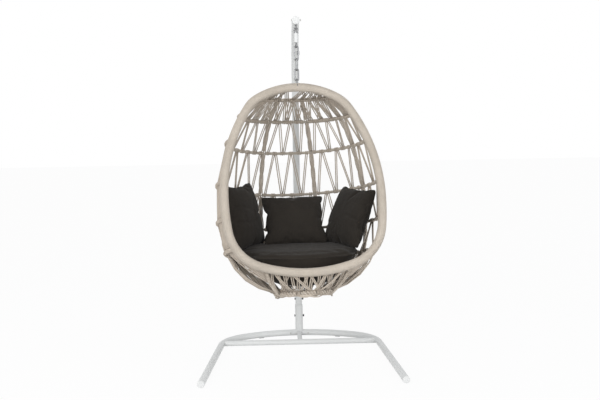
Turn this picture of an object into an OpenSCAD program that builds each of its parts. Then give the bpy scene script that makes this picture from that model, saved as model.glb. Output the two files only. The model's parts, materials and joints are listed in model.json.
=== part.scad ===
/* [Stand] */
// Overall depth of the stand, from the plug faces to the back of the post
base_depth = 1085; // [1000:5:1150]
// Outer diameter of the base tubes
base_tube_d = 38; // [34:1:42]
// Wall of the base and pole tubes
tube_wall = 1.8; // [1.5:0.1:2.4]
// Bend radius of the shallow rear arc
arc_r = 700; // [640:10:780]
// Turn of each half of the rear arc, in degrees
arc_turn = 30; // [26:1:32]
// Bend radius of the base corners
corner_r = 250; // [220:5:280]
// Outward splay of each arm, in degrees
arm_splay = 3.6; // [2:0.2:5]
// Length of the cross stub on the hub, along its arc
stub_len = 164; // [150:2:180]
// Length of each leg's spigot inside the stub
spigot_len = 50; // [40:1:60]
// Distance of the crossbar ahead of the pole's axis
crossbar_ahead = 242; // [220:2:260]
// Outer diameter of the crossbar
crossbar_d = 32; // [28:1:34]
// Outer diameter of the short brace tube
brace_d = 28; // [22:1:30]

/* [Pole] */
// Outer diameter of the lower post on the hub
post_d = 48; // [46:1:52]
// Outer diameter of the curved pole
pole_d = 42; // [38:1:44]
// Height of the seam between post and pole
seam_z = 200; // [190:2:220]
// Distance from the seam down to the lower post bolt
bolt_below = 70; // [60:1:80]
// Distance from the seam up to the upper post bolt
bolt_above = 38; // [30:1:50]
// Shank diameter of the post bolts
post_bolt_d = 8; // [6:1:10]
// Horizontal reach from the pole's axis to the hanging point
reach = 600; // [560:5:640]
// Turn of the curved arm, in degrees
arm_turn = 97; // [92:1:104]
// Height of the arm's axis at the hanging point
arm_z = 1894; // [1850:2:1940]
// Length of the arm past the hanging point
arm_tip = 34; // [28:1:45]

/* [Hanging gear] */
// Wire diameter of eyes and links
wire_d = 8; // [7:0.5:9]
// Half width of eyes and links, to the middle of the wire
bow_r = 10; // [9.5:0.1:10.5]
// Outer diameter of the swivel cover
swivel_d = 24; // [22:1:28]
// Length of the swivel cover
swivel_len = 49; // [45:1:55]
// Overall length of the quick link
quick_len = 86; // [78:1:95]
// Pitch of the chain links
link_pitch = 55; // [50:1:60]
// Turn of the hanging basket about the vertical, in degrees
basket_turn = 8; // [0:1:15]

/* [Basket] */
// Lean of the basket about its eye, in degrees
basket_lean = 11; // [8:0.5:14]
// Tilt of the rim's plane in the basket, in degrees
rim_tilt = 5.4; // [4:0.2:7]
// Diameter of the rim tube
rim_tube_d = 32; // [28:1:34]
// Thickness of the rope wrap on the rim
rim_rope = 7.7; // [6:0.1:9]
// Distance from the rim's top to the basket's middle line
axis_back = 107; // [100:1:112]
// Diameter of the bare hoop and rib rods
rod_d = 8; // [7:0.5:9]
// Thickness of the rope wrap on hoops and ribs
rod_rope = 5; // [4:0.1:6]
// Diameter of the lacing cord
cord_d = 7; // [6:0.1:8]
// Radius of the base hoop
base_hoop_r = 150; // [130:2:170]

/* [Rim outline] */
// Radius of the rim's flat top
rim_top_r = 430; // [400:5:460]
// Turn of the flat top, in degrees
rim_top_turn = 32; // [28:1:34]
// Radius of the rim's shoulders
rim_shoulder_r = 150; // [120:5:200]
// Turn of each shoulder, in degrees
rim_shoulder_turn = 24; // [20:1:28]
// Radius of the rim's long sides
rim_side_r = 890; // [840:10:940]
// Radius below the widest level
rim_waist_r = 1270; // [1000:10:1400]
// Turn below the widest level, in degrees
rim_waist_turn = 8; // [6:1:10]
// Radius of the lower corners
rim_corner_r = 240; // [220:5:260]
// Turn of each lower corner, in degrees
rim_corner_turn = 64; // [60:1:68]

/* [Egg profile] */
// Height of the crown above the rim's top
crown_rise = 43; // [35:1:50]
// Radius of the crown
crown_r = 360; // [340:5:380]
// Turn of the crown, in degrees
crown_turn = 56; // [52:1:58]
// Radius of the back
back_r = 905; // [860:5:950]
// Radius of the belly
belly_r = 1300; // [1100:10:1500]
// Turn of the belly, in degrees
belly_turn = 10; // [8:1:12]
// Radius of the hip above the bowl
hip_r = 150; // [120:5:180]
// Turn of the hip, in degrees
hip_turn = 18; // [14:1:20]

/* [Cushions] */
// Width of the seat cushion
seat_w = 658; // [580:5:660]
// Thickness of the seat cushion
seat_t = 130; // [100:1:140]
// Side of each square pillow
pillow_w = 360; // [330:5:370]
// Thickness of each pillow
pillow_t = 120; // [100:2:130]

/* [Hidden] */

// Half turns and radii shared by the tubes
base_r = base_tube_d / 2;
pad_t = 2.5;
tube_z = base_r + pad_t;
post_r = post_d / 2;
pole_r = pole_d / 2;
wire_r = wire_d / 2;
fit_gap = 0.3;
groove = 0.4;
join_len = 8;
slip_gap = 0.2;
arc_y = base_depth / 2 - post_d / 2;
stub_turn = stub_len / 2 / arc_r * 180 / PI;
spigot_turn = spigot_len / arc_r * 180 / PI;
collar_turn = 6 / arc_r * 180 / PI;
plug_flange = 4;
leg_arcs = [[arc_r, arc_turn], [corner_r, 90 - arm_splay - arc_turn]];
corner_end = chain_pose(leg_arcs, 2);
front_y = -base_depth / 2 + plug_flange * cos(arm_splay) + base_r * sin(arm_splay);
arm_len = (arc_y + corner_end[1] - front_y) / cos(arm_splay);
bolt_r = post_bolt_d / 2;
bolt_head_r = bolt_r * 1.7;
bolt_head_h = 5;
hub_bolt_r = 3;
hub_head_r = 5.5;
hub_head_h = 4;
pad_len = 30;
pad_w = 14;
rear_pad_turn = 20;
front_pad_back = 34;
bar_y = arc_y - crossbar_ahead;
// Angle on the base corner at which the crossbar meets the leg
bar_heading = acos(cos(arc_turn) - (crossbar_ahead - arc_r * (1 - cos(arc_turn))) / corner_r);
bar_half = arc_r * sin(arc_turn) + corner_r * (sin(bar_heading) - sin(arc_turn));

coupler_wall = 4;
coupler_down = bolt_below + 22;
coupler_up = bolt_above + 24;

pole_y = arc_y;
hang_y = pole_y - reach;
arm_r = reach / (1 - cos(arm_turn));
arm_spring_z = arm_z - arm_r * sin(arm_turn);

// Heights down the hanging gear, each from the piece above
hanger_shank_r = 6;
hanger_bolt_r = 3;
wire_step = wire_d + fit_gap;
hanger_z = arm_z - pole_r - 4 - bow_r - wire_r;
cap_eye_z = hanger_z - bow_r + wire_step - bow_r;
cap_top_z = cap_eye_z - bow_r - wire_r - 1;
cap_disc_h = 6;
cap_boss_h = 8;
cover_top_z = cap_top_z - cap_disc_h;
cover_end_z = cover_top_z - swivel_len;
swivel_r = swivel_d / 2;
cover_wall = 2;
cover_floor = 4;
washer_h = 2;
stem_r = 4.3;
pin_head_h = 6;
pin_eye_z = cover_end_z - 2 - bow_r - wire_r;
quick_top_z = pin_eye_z - bow_r + wire_step;
quick_end_z = quick_top_z + wire_d - quick_len;
link_1_top_z = quick_end_z + wire_step;
link_1_end_z = quick_end_z - link_pitch;
link_2_top_z = link_1_end_z + wire_step;
link_2_end_z = link_1_end_z - link_pitch;
eye_z = link_2_end_z + wire_step - bow_r;

// The basket's frame: origin at the rim's top, z up its middle line
rim_r = rim_tube_d / 2;
rim_out_r = rim_r + rim_rope + slip_gap;
rod_r = rod_d / 2;
rope_r = rod_r + rod_rope + slip_gap;
cord_r = cord_d / 2;
eye_rise = rim_out_r + wire_d + 4;
saddle_half = 28;
saddle_wall = 3.4;
rim_arcs = [
    [rim_top_r, rim_top_turn],
    [rim_shoulder_r, rim_shoulder_turn],
    [rim_side_r, 90 - rim_top_turn - rim_shoulder_turn],
    [rim_waist_r, rim_waist_turn],
    [rim_corner_r, rim_corner_turn]
];
rim_chain = closed_chain(rim_arcs);
egg_arcs = [
    [crown_r, crown_turn],
    [back_r, 90 - crown_turn],
    [belly_r, belly_turn],
    [hip_r, hip_turn]
];
egg_chain = closed_chain(egg_arcs);
// Heading on the rim and on the egg's profile at which each hoop sits
hoop_seats = [[26, 30], [59, 55], [69, 68], [84, 84], [95, 95], [122, 121]];
rib_azimuths = [-64, -21.3, 21.3, 64];
front_rib_heading = 163;
front_rib_azimuth = 110;
front_rib_bulge = 10;
side_cord_reach = 112;
// Azimuth at which the base hoop's cross bars meet it
bar_azimuth = 20;
cords_per_panel = 5;
// Half the gap between the two cords of a node, and the space kept beside each rib
cord_step = cord_d / 2 + 2;
panel_margin = rope_r + cord_d + 3;

// Cushions: places ahead of or behind the hanging axis, and heights below the basket's eye
seat_z = eye_z - 980.6;
seat_front = -240;
seat_back = 340;
seat_front_r = 215;
seat_back_r = 290;
seat_belly_r = 140;
seat_belly_t = 60;
seat_belly_y = -95;
seat_belly_drop = 98;
// Each pillow's azimuth, distance out from the hanging axis, drop of its middle below the eye, and lean
left_place = [-60, 336, 743.8, 14];
centre_place = [2.5, 268, 769.7, 38];
right_place = [73, 323, 751.7, 24];

// Pose [x, y, heading] at the start of arc i of a chain that turns right from +x
function chain_pose(c, i) = i == 0 ? [0, 0, 0] :
    let (p = chain_pose(c, i - 1), r = c[i - 1][0], h = p[2], e = p[2] + c[i - 1][1])
    [p[0] + r * (sin(e) - sin(h)), p[1] + r * (cos(e) - cos(h)), e];
// Adds the last arc, which ends on the mirror line with its heading turned about
function closed_chain(c) =
    let (p = chain_pose(c, len(c)))
    concat(c, [[p[0] / sin(p[2]), 180 - p[2]]]);
function chain_index(c, h, i = 0) =
    i == len(c) - 1 || h <= chain_pose(c, i + 1)[2] ? i : chain_index(c, h, i + 1);
function chain_radius(c, h) = c[chain_index(c, h)][0];
function chain_point(c, h) =
    let (i = chain_index(c, h), p = chain_pose(c, i), r = c[i][0])
    [p[0] + r * (sin(h) - sin(p[2])), p[1] + r * (cos(h) - cos(p[2]))];

// Points of the basket
function rim_turn(h, length) = length / chain_radius(rim_chain, h) * 180 / PI;
function rim_point(h, side = 1) =
    let (p = chain_point(rim_chain, h))
    [side * p[0], p[1] * sin(rim_tilt), p[1] * cos(rim_tilt)];
function rim_along(h, side = 1) =
    [side * cos(h), -sin(h) * sin(rim_tilt), -sin(h) * cos(rim_tilt)];
function egg_point(h, azimuth) =
    let (p = chain_point(egg_chain, h))
    [p[0] * sin(azimuth), axis_back + p[0] * cos(azimuth), crown_rise + p[1]];

// A hoop is the circle through both rim seats and its back point: [centre, radius, tilt, end angle]
function hoop(k) =
    let (
        p = rim_point(hoop_seats[k][0]),
        b = egg_point(hoop_seats[k][1], 0),
        depth = norm([b[1] - p[1], b[2] - p[2]]),
        tilt = atan2(b[2] - p[2], b[1] - p[1]),
        radius = (p[0] * p[0] + depth * depth) / (2 * depth)
    )
    [b - radius * [0, cos(tilt), sin(tilt)], radius, tilt, atan2(p[0], radius - depth)];
function hoop_point(k, a) =
    let (h = hoop(k))
    h[0] + h[1] * [sin(a), cos(a) * cos(h[2]), cos(a) * sin(h[2])];
function hoop_along(k, a) =
    let (h = hoop(k))
    [cos(a), -sin(a) * cos(h[2]), -sin(a) * sin(h[2])];
// Angle on hoop k at which a rib of the given azimuth crosses it
function hoop_crossing(k, azimuth) =
    let (
        h = hoop(k),
        x = cos(azimuth),
        y = cos(h[2]) * sin(azimuth),
        e = (h[0][1] - axis_back) * sin(azimuth)
    )
    atan2(y, x) + asin(e / (h[1] * norm([x, y])));
// Angle that a length takes up on hoop k
function hoop_turn(k, length) = length / hoop(k)[1] * 180 / PI;
// Length of a rod of radius rr along hoop k, from the rim's middle line to clear radius r round it
function seat_length(k, r, rr) = end_lift(hoop_along(k, hoop(k)[3]), rim_along(hoop_seats[k][0]), r, rr);
// Turns of the rim left bare before and after a rod that leaves it at heading h along direction d
function bare_turn(h, d) =
    let (s = d * rim_along(h), q = sqrt(1 - s * s), a = rod_r + 1)
    [rim_turn(h, (a + max(0, -s) * rim_out_r) / q), rim_turn(h, (a + max(0, s) * rim_out_r) / q)];
base_hoop_heading = 180 - asin((base_hoop_r) / egg_chain[len(egg_chain) - 1][0]);
base_hoop_z = egg_point(base_hoop_heading, 0)[2];
function base_point(azimuth) =
    [base_hoop_r * sin(azimuth), axis_back + base_hoop_r * cos(azimuth), base_hoop_z];

// Middle line of a back rib: outside each hoop it crosses, smoothed between
rib_out = rod_d + fit_gap;
function outward(azimuth, h) = [sin(azimuth) * sin(h), cos(azimuth) * sin(h), cos(h)];
function rib_knots(azimuth) = concat(
    [for (k = [0:5]) hoop_point(k, hoop_crossing(k, azimuth)) + rib_out * outward(azimuth, hoop_seats[k][1])],
    [base_point(azimuth) + rib_out * outward(azimuth, base_hoop_heading)]
);
// Lift of a rod's end along direction d, so that it clears a tube of radius r that runs along t
function end_lift(d, t, r, rr) =
    let (s = abs(d * t))
    (r + fit_gap + rr * s) / sqrt(1 - s * s);
function front_rib_dir(side) = unit(front_rib_foot(side) - rim_point(front_rib_heading, side));
function front_rib_foot(side) =
    base_point(side * front_rib_azimuth) + (rib_out + fit_gap) * outward(side * front_rib_azimuth, base_hoop_heading);
function front_rib_knots(side) =
    let (
        d = front_rib_dir(side),
        p = rim_point(front_rib_heading, side) + end_lift(d, rim_along(front_rib_heading, side), rim_r, rod_r) * d,
        q = front_rib_foot(side),
        bulge = front_rib_bulge * outward(side * front_rib_azimuth, 130)
    )
    [p, (p + q) / 2 + bulge, q];
// Point of a smooth line through knots, at t from 0 to len(k) - 1
function smooth(k, t) =
    let (
        n = len(k) - 1,
        i = min(floor(t), n - 1),
        u = t - i,
        a = i > 0 ? k[i - 1] : 2 * k[0] - k[1],
        b = k[i],
        c = k[i + 1],
        d = i < n - 1 ? k[i + 2] : 2 * k[n] - k[n - 1]
    )
    0.5 * (2 * b + (c - a) * u + (2 * a - 5 * b + 4 * c - d) * u * u + (3 * b - a - 3 * c + d) * u * u * u);
function unit(v) = v / norm(v);

$fn = 48;

// Shapes shared by many pieces
module ring2d(ro, ri = 0) {
    difference() {
        circle(ro, $fn = 24);
        if (ri > 0) circle(ri, $fn = 24);
    }
}
module tube(length, ro, ri = 0) {
    difference() {
        cylinder(h = length, r = ro);
        if (ri > 0) translate([0, 0, -1]) cylinder(h = length + 2, r = ri);
    }
}
// Round tube along part of a chain, which lies in the XY plane; its arcs join at a fine groove
module chain_sweep(c, from, to, ro, ri = 0) {
    for (i = [0:len(c) - 1]) {
        p = chain_pose(c, i);
        r = c[i][0];
        half = groove / 2 / r * 180 / PI;
        a = max(from, p[2] + (i > 0 ? half : 0));
        b = min(to, p[2] + c[i][1] - half);
        if (b - a > half)
            translate([p[0] - r * sin(p[2]), p[1] - r * cos(p[2]), 0])
                rotate([0, 0, 90 - b])
                    rotate_extrude(angle = b - a, $fn = 96)
                        translate([r, 0])
                            ring2d(ro, ri);
        if (i > 0 && p[2] > from && p[2] < to) chain_join(p, ro, ri);
    }
}
// Ring within the wall that bridges a groove at the given pose
module chain_join(p, ro, ri) {
    edge = (ro - ri) * 0.28;
    translate([p[0], p[1], 0]) rotate([0, 0, -p[2]]) rotate([0, 90, 0])
        translate([0, 0, -join_len / 2]) tube(join_len, ro - edge, ri > 0 ? ri + edge : 0);
}
module both_sides() {
    children();
    mirror([1, 0, 0]) children();
}
module drill_x(r, length) {
    translate([-length / 2, 0, 0]) rotate([0, 90, 0]) cylinder(h = length, r = r);
}
module eye_x(r) {
    rotate([0, 90, 0]) rotate_extrude() translate([r, 0]) ring2d(wire_r);
}
module plug(r, wall, length) {
    edge = 1.5;
    rotate_extrude() {
        square([r - edge, plug_flange]);
        square([r, plug_flange - edge]);
        intersection() {
            translate([r - edge, plug_flange - edge]) circle(edge);
            square([r, plug_flange]);
        }
        translate([0, -length]) square([r - wall - slip_gap, length]);
    }
}
module cap_head(r, h) {
    edge = 1;
    rotate_extrude() {
        square([r - edge, h]);
        square([r, h - edge]);
        translate([r - edge, h - edge]) circle(edge);
    }
}

// Stand
module in_plan() {
    translate([0, arc_y, tube_z]) children();
}
module on_arc(turn) {
    in_plan() translate([0, -arc_r, 0]) rotate([0, 0, -turn]) translate([0, arc_r, 0]) children();
}
module hub_bolt_holes(side) {
    on_arc(side * (stub_turn - spigot_turn / 2))
        rotate([90, 0, 0]) translate([0, 0, -post_d]) cylinder(h = 2 * post_d, r = hub_bolt_r + slip_gap);
}
module stub(ro, extra = 0) {
    turn = stub_turn + extra;
    in_plan() translate([0, -arc_r, 0]) rotate([0, 0, 90 - turn])
        rotate_extrude(angle = 2 * turn, $fn = 96) translate([arc_r, 0]) ring2d(ro);
}
module base_hub() {
    color("white") difference() {
        union() {
            stub(base_r);
            translate([0, arc_y, tube_z + 4]) cylinder(h = seam_z - tube_z - 4, r = post_r);
        }
        stub(base_r - tube_wall, 1);
        difference() {
            translate([0, arc_y, tube_z]) cylinder(h = seam_z, r = post_r - tube_wall);
            stub(base_r);
        }
        translate([0, arc_y, seam_z - bolt_below]) drill_x(bolt_r + slip_gap, 2 * post_d);
        hub_bolt_holes(1);
        hub_bolt_holes(-1);
    }
}
module leg() {
    inner_r = base_r - tube_wall;
    spigot_r = inner_r - slip_gap;
    weld_from = stub_turn + collar_turn / 2;
    difference() {
        in_plan() {
            chain_sweep(leg_arcs, stub_turn - spigot_turn, stub_turn + 3 * collar_turn, spigot_r, spigot_r - tube_wall);
            chain_sweep(leg_arcs, weld_from, weld_from + collar_turn, base_r - tube_wall / 2, spigot_r - tube_wall / 2);
            chain_sweep(leg_arcs, stub_turn, 90, base_r, inner_r);
            chain_join(corner_end, base_r, inner_r);
            translate([corner_end[0], corner_end[1], 0]) rotate([0, 0, -corner_end[2]]) rotate([0, 90, 0])
                translate([0, 0, groove / 2]) tube(arm_len - groove / 2, base_r, inner_r);
        }
        hub_bolt_holes(1);
        translate([bar_half, bar_y, tube_z]) drill_x(hub_bolt_r + slip_gap, 2 * post_d);
    }
}
module leg_left() {
    color("white") mirror([1, 0, 0]) leg();
}
module leg_right() {
    color("white") leg();
}
module leg_plugs() {
    color("whitesmoke") both_sides() in_plan()
        translate([corner_end[0], corner_end[1], 0])
            rotate([0, 0, -corner_end[2]]) translate([arm_len, 0, 0]) rotate([0, 90, 0])
                plug(base_r, tube_wall, 22);
}
module crossbar() {
    end_solid = 24;
    color("white") difference() {
        translate([-bar_half, bar_y, tube_z]) rotate([0, 90, 0]) cylinder(h = 2 * bar_half, r = crossbar_d / 2);
        translate([-bar_half + base_r + end_solid, bar_y, tube_z]) rotate([0, 90, 0])
            cylinder(h = 2 * (bar_half - base_r - end_solid), r = crossbar_d / 2 - tube_wall);
        both_sides() in_plan() chain_sweep([[arc_r, arc_turn], [corner_r, 90 - arc_turn]], arc_turn, 90, base_r + slip_gap);
        both_sides() translate([bar_half - base_r - end_solid / 2, bar_y, tube_z])
            drill_x(hub_bolt_r + slip_gap / 2, 2 * end_solid);
    }
}
module brace_tube() {
    color("white") difference() {
        translate([0, arc_y, tube_z]) rotate([90, 0, 0]) tube(crossbar_ahead, brace_d / 2, brace_d / 2 - tube_wall);
        stub(base_r + slip_gap, 1);
        translate([0, arc_y, 0]) cylinder(h = seam_z, r = post_r + slip_gap);
        translate([0, bar_y, tube_z]) drill_x(crossbar_d / 2 + slip_gap, 4 * post_d);
    }
}
module hub_bolt() {
    rotate([-90, 0, 0]) {
        translate([0, 0, base_r + slip_gap]) cap_head(hub_head_r, hub_head_h);
        translate([0, 0, -base_r - 8]) cylinder(h = 2 * base_r + 8 + 2 * slip_gap, r = hub_bolt_r);
    }
}
module hub_bolts() {
    color("silver") for (side = [-1, 1]) on_arc(side * (stub_turn - spigot_turn / 2)) hub_bolt();
}
module hub_nuts() {
    color("silver") for (side = [-1, 1]) on_arc(side * (stub_turn - spigot_turn / 2))
        translate([0, -base_r - slip_gap, 0]) rotate([90, 0, 0]) difference() {
            cylinder(h = hub_head_h + 1, r = hub_head_r, $fn = 6);
            translate([0, 0, -1]) cylinder(h = hub_head_h + 3, r = hub_bolt_r + slip_gap / 2);
        }
}
module crossbar_bolts() {
    seat = base_r / sin(bar_heading) + hub_head_r / tan(bar_heading) + slip_gap;
    color("silver") both_sides() translate([bar_half, bar_y, tube_z]) rotate([0, 90, 0]) {
        translate([0, 0, seat]) cap_head(hub_head_r, hub_head_h);
        translate([0, 0, -base_r - 16]) cylinder(h = base_r + 16 + seat + 1, r = hub_bolt_r);
    }
}

// Pads under the base tubes, hollowed on top to fit them
module floor_pad() {
    difference() {
        translate([-pad_len / 2, -pad_w / 2, -tube_z]) cube([pad_len, pad_w, 2 * pad_t]);
        drill_x(base_r + slip_gap, 2 * pad_len);
    }
}
module floor_pads() {
    color("dimgray") both_sides() {
        on_arc(rear_pad_turn) floor_pad();
        in_plan() translate([corner_end[0], corner_end[1], 0]) rotate([0, 0, -corner_end[2]])
            translate([arm_len - front_pad_back, 0, 0]) floor_pad();
    }
}

// Pole
module pole_path() {
    translate([0, pole_y, seam_z]) rotate([0, -90, 0]) children();
}
arm_chain = [[arm_r, arm_turn]];
arm_end = chain_pose(arm_chain, 1);
module pole_piece(ro, ri) {
    pole_path() {
        rise = arm_spring_z - seam_z;
        rotate([0, 90, 0]) tube(rise - groove / 2, ro, ri);
        translate([rise, 0, 0]) {
            chain_join([0, 0, 0], ro, ri);
            chain_join(arm_end, ro, ri);
            turn = groove / 2 / arm_r * 180 / PI;
            chain_sweep(arm_chain, turn, arm_turn, ro, ri);
            translate([arm_end[0], arm_end[1], 0]) rotate([0, 0, -arm_turn]) rotate([0, 90, 0])
                translate([0, 0, groove / 2]) tube(arm_tip - groove / 2, ro, ri);
        }
    }
}
module curved_pole() {
    color("white") difference() {
        pole_piece(pole_r, pole_r - tube_wall);
        translate([0, pole_y, seam_z + bolt_above]) drill_x(bolt_r + slip_gap, 2 * post_d);
        translate([0, hang_y, arm_z]) drill_x(hanger_bolt_r + slip_gap, 2 * post_d);
        translate([0, hang_y, arm_z - 2 * pole_r]) cylinder(h = 2 * pole_r, r = hanger_shank_r + fit_gap);
    }
}
module pole_coupler() {
    low_r = post_r - tube_wall - slip_gap;
    high_r = pole_r - tube_wall - slip_gap;
    color("gainsboro") translate([0, pole_y, seam_z]) difference() {
        union() {
            translate([0, 0, -coupler_down]) cylinder(h = coupler_down, r = low_r);
            cylinder(h = coupler_up, r = high_r);
        }
        translate([0, 0, -coupler_down - 1])
            cylinder(h = coupler_down + coupler_up + 2, r = high_r - coupler_wall);
        translate([0, 0, -bolt_below]) drill_x(bolt_r + slip_gap, 2 * post_d);
        translate([0, 0, bolt_above]) drill_x(bolt_r + slip_gap, 2 * post_d);
    }
}
// Places children on the lower and the upper post bolt; $wall_r is the tube's radius there
module at_post_bolts() {
    translate([0, pole_y, seam_z - bolt_below]) {
        $wall_r = post_r;
        children();
    }
    translate([0, pole_y, seam_z + bolt_above]) {
        $wall_r = pole_r;
        children();
    }
}
module post_bolts() {
    color("black") at_post_bolts() rotate([0, -90, 0]) {
        translate([0, 0, $wall_r + slip_gap]) cap_head(bolt_head_r, bolt_head_h);
        translate([0, 0, -$wall_r - 6]) cylinder(h = 2 * $wall_r + 7, r = bolt_r);
    }
}
module post_nuts() {
    color("black") at_post_bolts() rotate([0, 90, 0]) translate([0, 0, $wall_r + slip_gap]) difference() {
        cap_head(bolt_head_r, bolt_head_h + 3);
        translate([0, 0, -1]) cylinder(h = bolt_head_h + 3, r = bolt_r + slip_gap / 2);
    }
}
module arm_plug() {
    color("whitesmoke") pole_path() translate([arm_spring_z - seam_z + arm_end[0], arm_end[1], 0])
        rotate([0, 0, -arm_turn]) translate([arm_tip, 0, 0]) rotate([0, 90, 0])
            plug(pole_r, tube_wall, arm_tip - 12);
}

// Hanging gear
module hanger_eye() {
    color("silver") translate([0, hang_y, 0]) difference() {
        union() {
            translate([0, 0, hanger_z]) eye_x(bow_r);
            translate([0, 0, hanger_z + bow_r - 1]) cylinder(h = arm_z - hanger_z - bow_r + 11, r = hanger_shank_r);
        }
        translate([0, 0, arm_z]) drill_x(hanger_bolt_r + slip_gap, 4 * hanger_shank_r);
    }
}
module hanger_bolt() {
    color("gainsboro") translate([0, hang_y, arm_z]) rotate([0, -90, 0]) {
        translate([0, 0, pole_r + slip_gap]) cap_head(hub_head_r, hub_head_h);
        translate([0, 0, -pole_r - 5]) cylinder(h = 2 * pole_r + 6, r = hanger_bolt_r);
    }
}
module hanger_nut() {
    color("gainsboro") translate([pole_r + slip_gap, hang_y, arm_z]) rotate([0, 90, 0]) difference() {
        cap_head(hub_head_r, hub_head_h + 3);
        translate([0, 0, -1]) cylinder(h = hub_head_h + 3, r = hanger_bolt_r + slip_gap / 2);
    }
}
module swivel_cap() {
    color("silver") translate([0, hang_y, 0]) {
        translate([0, 0, cap_eye_z]) rotate([0, 0, 90]) eye_x(bow_r);
        translate([0, 0, cap_top_z - 1]) cylinder(h = wire_r + 3, r = hanger_shank_r - 1);
        translate([0, 0, cover_top_z]) cylinder(h = cap_disc_h, r = swivel_r);
        translate([0, 0, cover_top_z - cap_boss_h])
            cylinder(h = cap_boss_h + 1, r = swivel_r - cover_wall - slip_gap);
    }
}
module swivel_cover() {
    edge = 2;
    color("white") translate([0, hang_y, cover_end_z]) rotate_extrude() difference() {
        union() {
            square([swivel_r - edge, swivel_len]);
            translate([0, edge]) square([swivel_r, swivel_len - edge]);
            intersection() {
                translate([swivel_r - edge, edge]) circle(edge);
                square([swivel_r, swivel_len]);
            }
        }
        translate([0, -1]) square([stem_r + fit_gap, swivel_len + 2]);
        translate([0, cover_floor]) square([swivel_r - cover_wall, swivel_len]);
    }
}
module thrust_washer() {
    color("goldenrod") translate([0, hang_y, cover_end_z + cover_floor])
        tube(washer_h, swivel_r - cover_wall - slip_gap, stem_r + fit_gap);
}
module hang_frame() {
    translate([0, hang_y, 0]) rotate([0, 0, basket_turn]) children();
}
module swivel_pin() {
    head_z = cover_end_z + cover_floor + washer_h + fit_gap;
    color("silver") hang_frame() {
        translate([0, 0, pin_eye_z]) eye_x(bow_r);
        translate([0, 0, pin_eye_z + bow_r]) cylinder(h = head_z - pin_eye_z - bow_r + 1, r = stem_r);
        translate([0, 0, head_z]) cylinder(h = pin_head_h, r = swivel_r - cover_wall - 2 * fit_gap);
    }
}
// Stadium of wire in the XZ plane, between the middles of its end wires
module wire_link(top, end) {
    translate([0, 0, top - bow_r]) rotate([90, 0, 0]) rotate_extrude(angle = 180) translate([bow_r, 0]) ring2d(wire_r);
    translate([0, 0, end + bow_r]) rotate([-90, 0, 0]) rotate_extrude(angle = 180) translate([bow_r, 0]) ring2d(wire_r);
    for (x = [-bow_r, bow_r]) translate([x, 0, end + bow_r]) cylinder(h = top - end - 2 * bow_r, r = wire_r);
}
module quick_link() {
    color("silver") hang_frame() wire_link(quick_top_z, quick_end_z);
}
module quick_link_nut() {
    color("silver") hang_frame() translate([bow_r, 0, (quick_top_z + quick_end_z) / 2 - 11]) difference() {
        cylinder(h = 22, r = wire_r + 3.2, $fn = 6);
        translate([0, 0, -1]) cylinder(h = 24, r = wire_r + slip_gap / 2);
    }
}
module chain_link_1() {
    color("silver") hang_frame() rotate([0, 0, 90]) wire_link(link_1_top_z, link_1_end_z);
}
module chain_link_2() {
    color("silver") hang_frame() wire_link(link_2_top_z, link_2_end_z);
}

// Basket
module basket_frame() {
    translate([0, hang_y, eye_z]) rotate([0, 0, basket_turn]) rotate([-basket_lean, 0, 0])
        translate([0, 0, -eye_rise]) children();
}
module in_rim_plane() {
    rotate([90 - rim_tilt, 0, 0]) children();
}
module basket_eye() {
    saddle_turn = saddle_half / rim_top_r * 180 / PI;
    color("silver") basket_frame() {
        translate([0, 0, eye_rise]) rotate([90, 0, 90]) rotate_extrude(angle = 180) translate([bow_r, 0]) ring2d(wire_r);
        for (y = [-bow_r, bow_r]) translate([0, y, rim_r - 0.4]) cylinder(h = eye_rise - rim_r + 0.4, r = wire_r);
        in_rim_plane() translate([0, -rim_top_r, 0]) rotate([0, 0, 90 - saddle_turn])
            rotate_extrude(angle = 2 * saddle_turn, $fn = 96) translate([rim_top_r, 0]) intersection() {
                ring2d(rim_r + saddle_wall, rim_r + slip_gap);
                translate([-rim_r / 3, -rim_tube_d]) square(2 * rim_tube_d);
            }
    }
}
// Part of the rim's tube on both sides; the halves join at the top and the bottom
module rim_span(from, to, ro, ri) {
    low = from == 0 ? rim_turn(1, groove / 2) : from;
    high = to == 180 ? 180 - rim_turn(179, groove / 2) : to;
    in_rim_plane() {
        both_sides() chain_sweep(rim_chain, low, high, ro, ri);
        if (from == 0) chain_join([0, 0, 0], ro, ri);
        if (to == 180) chain_join(chain_pose(rim_chain, len(rim_chain)), ro, ri);
    }
}
module rim_tube() {
    color("gainsboro") basket_frame() rim_span(0, 180, rim_r, rim_r - tube_wall);
}
module rim_wrap() {
    bore_r = rim_r + slip_gap;
    seats = concat(
        [for (k = [0:5]) [hoop_seats[k][0], bare_turn(hoop_seats[k][0], -hoop_along(k, hoop(k)[3]))]],
        [[front_rib_heading, bare_turn(front_rib_heading, front_rib_dir(1))]]
    );
    starts = concat([rim_turn(1, saddle_half + 3)], [for (s = seats) s[0] + s[1][1]]);
    ends = concat([for (s = seats) s[0] - s[1][0]], [180]);
    color("tan") basket_frame() for (i = [0:len(starts) - 1]) rim_span(starts[i], ends[i], rim_out_r, bore_r);
}
module hoop_arc(k, a, b, ro, ri) {
    h = hoop(k);
    translate(h[0]) rotate([h[2], 0, 0]) rotate([0, 0, 90 - b])
        rotate_extrude(angle = b - a, $fn = 96) translate([h[1], 0]) ring2d(ro, ri);
}
module hoop_rods() {
    color("gainsboro") basket_frame() for (k = [0:5]) {
        e = hoop(k)[3] - hoop_turn(k, seat_length(k, rim_r, rod_r));
        hoop_arc(k, -e, e, rod_r, 0);
    }
}
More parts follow.
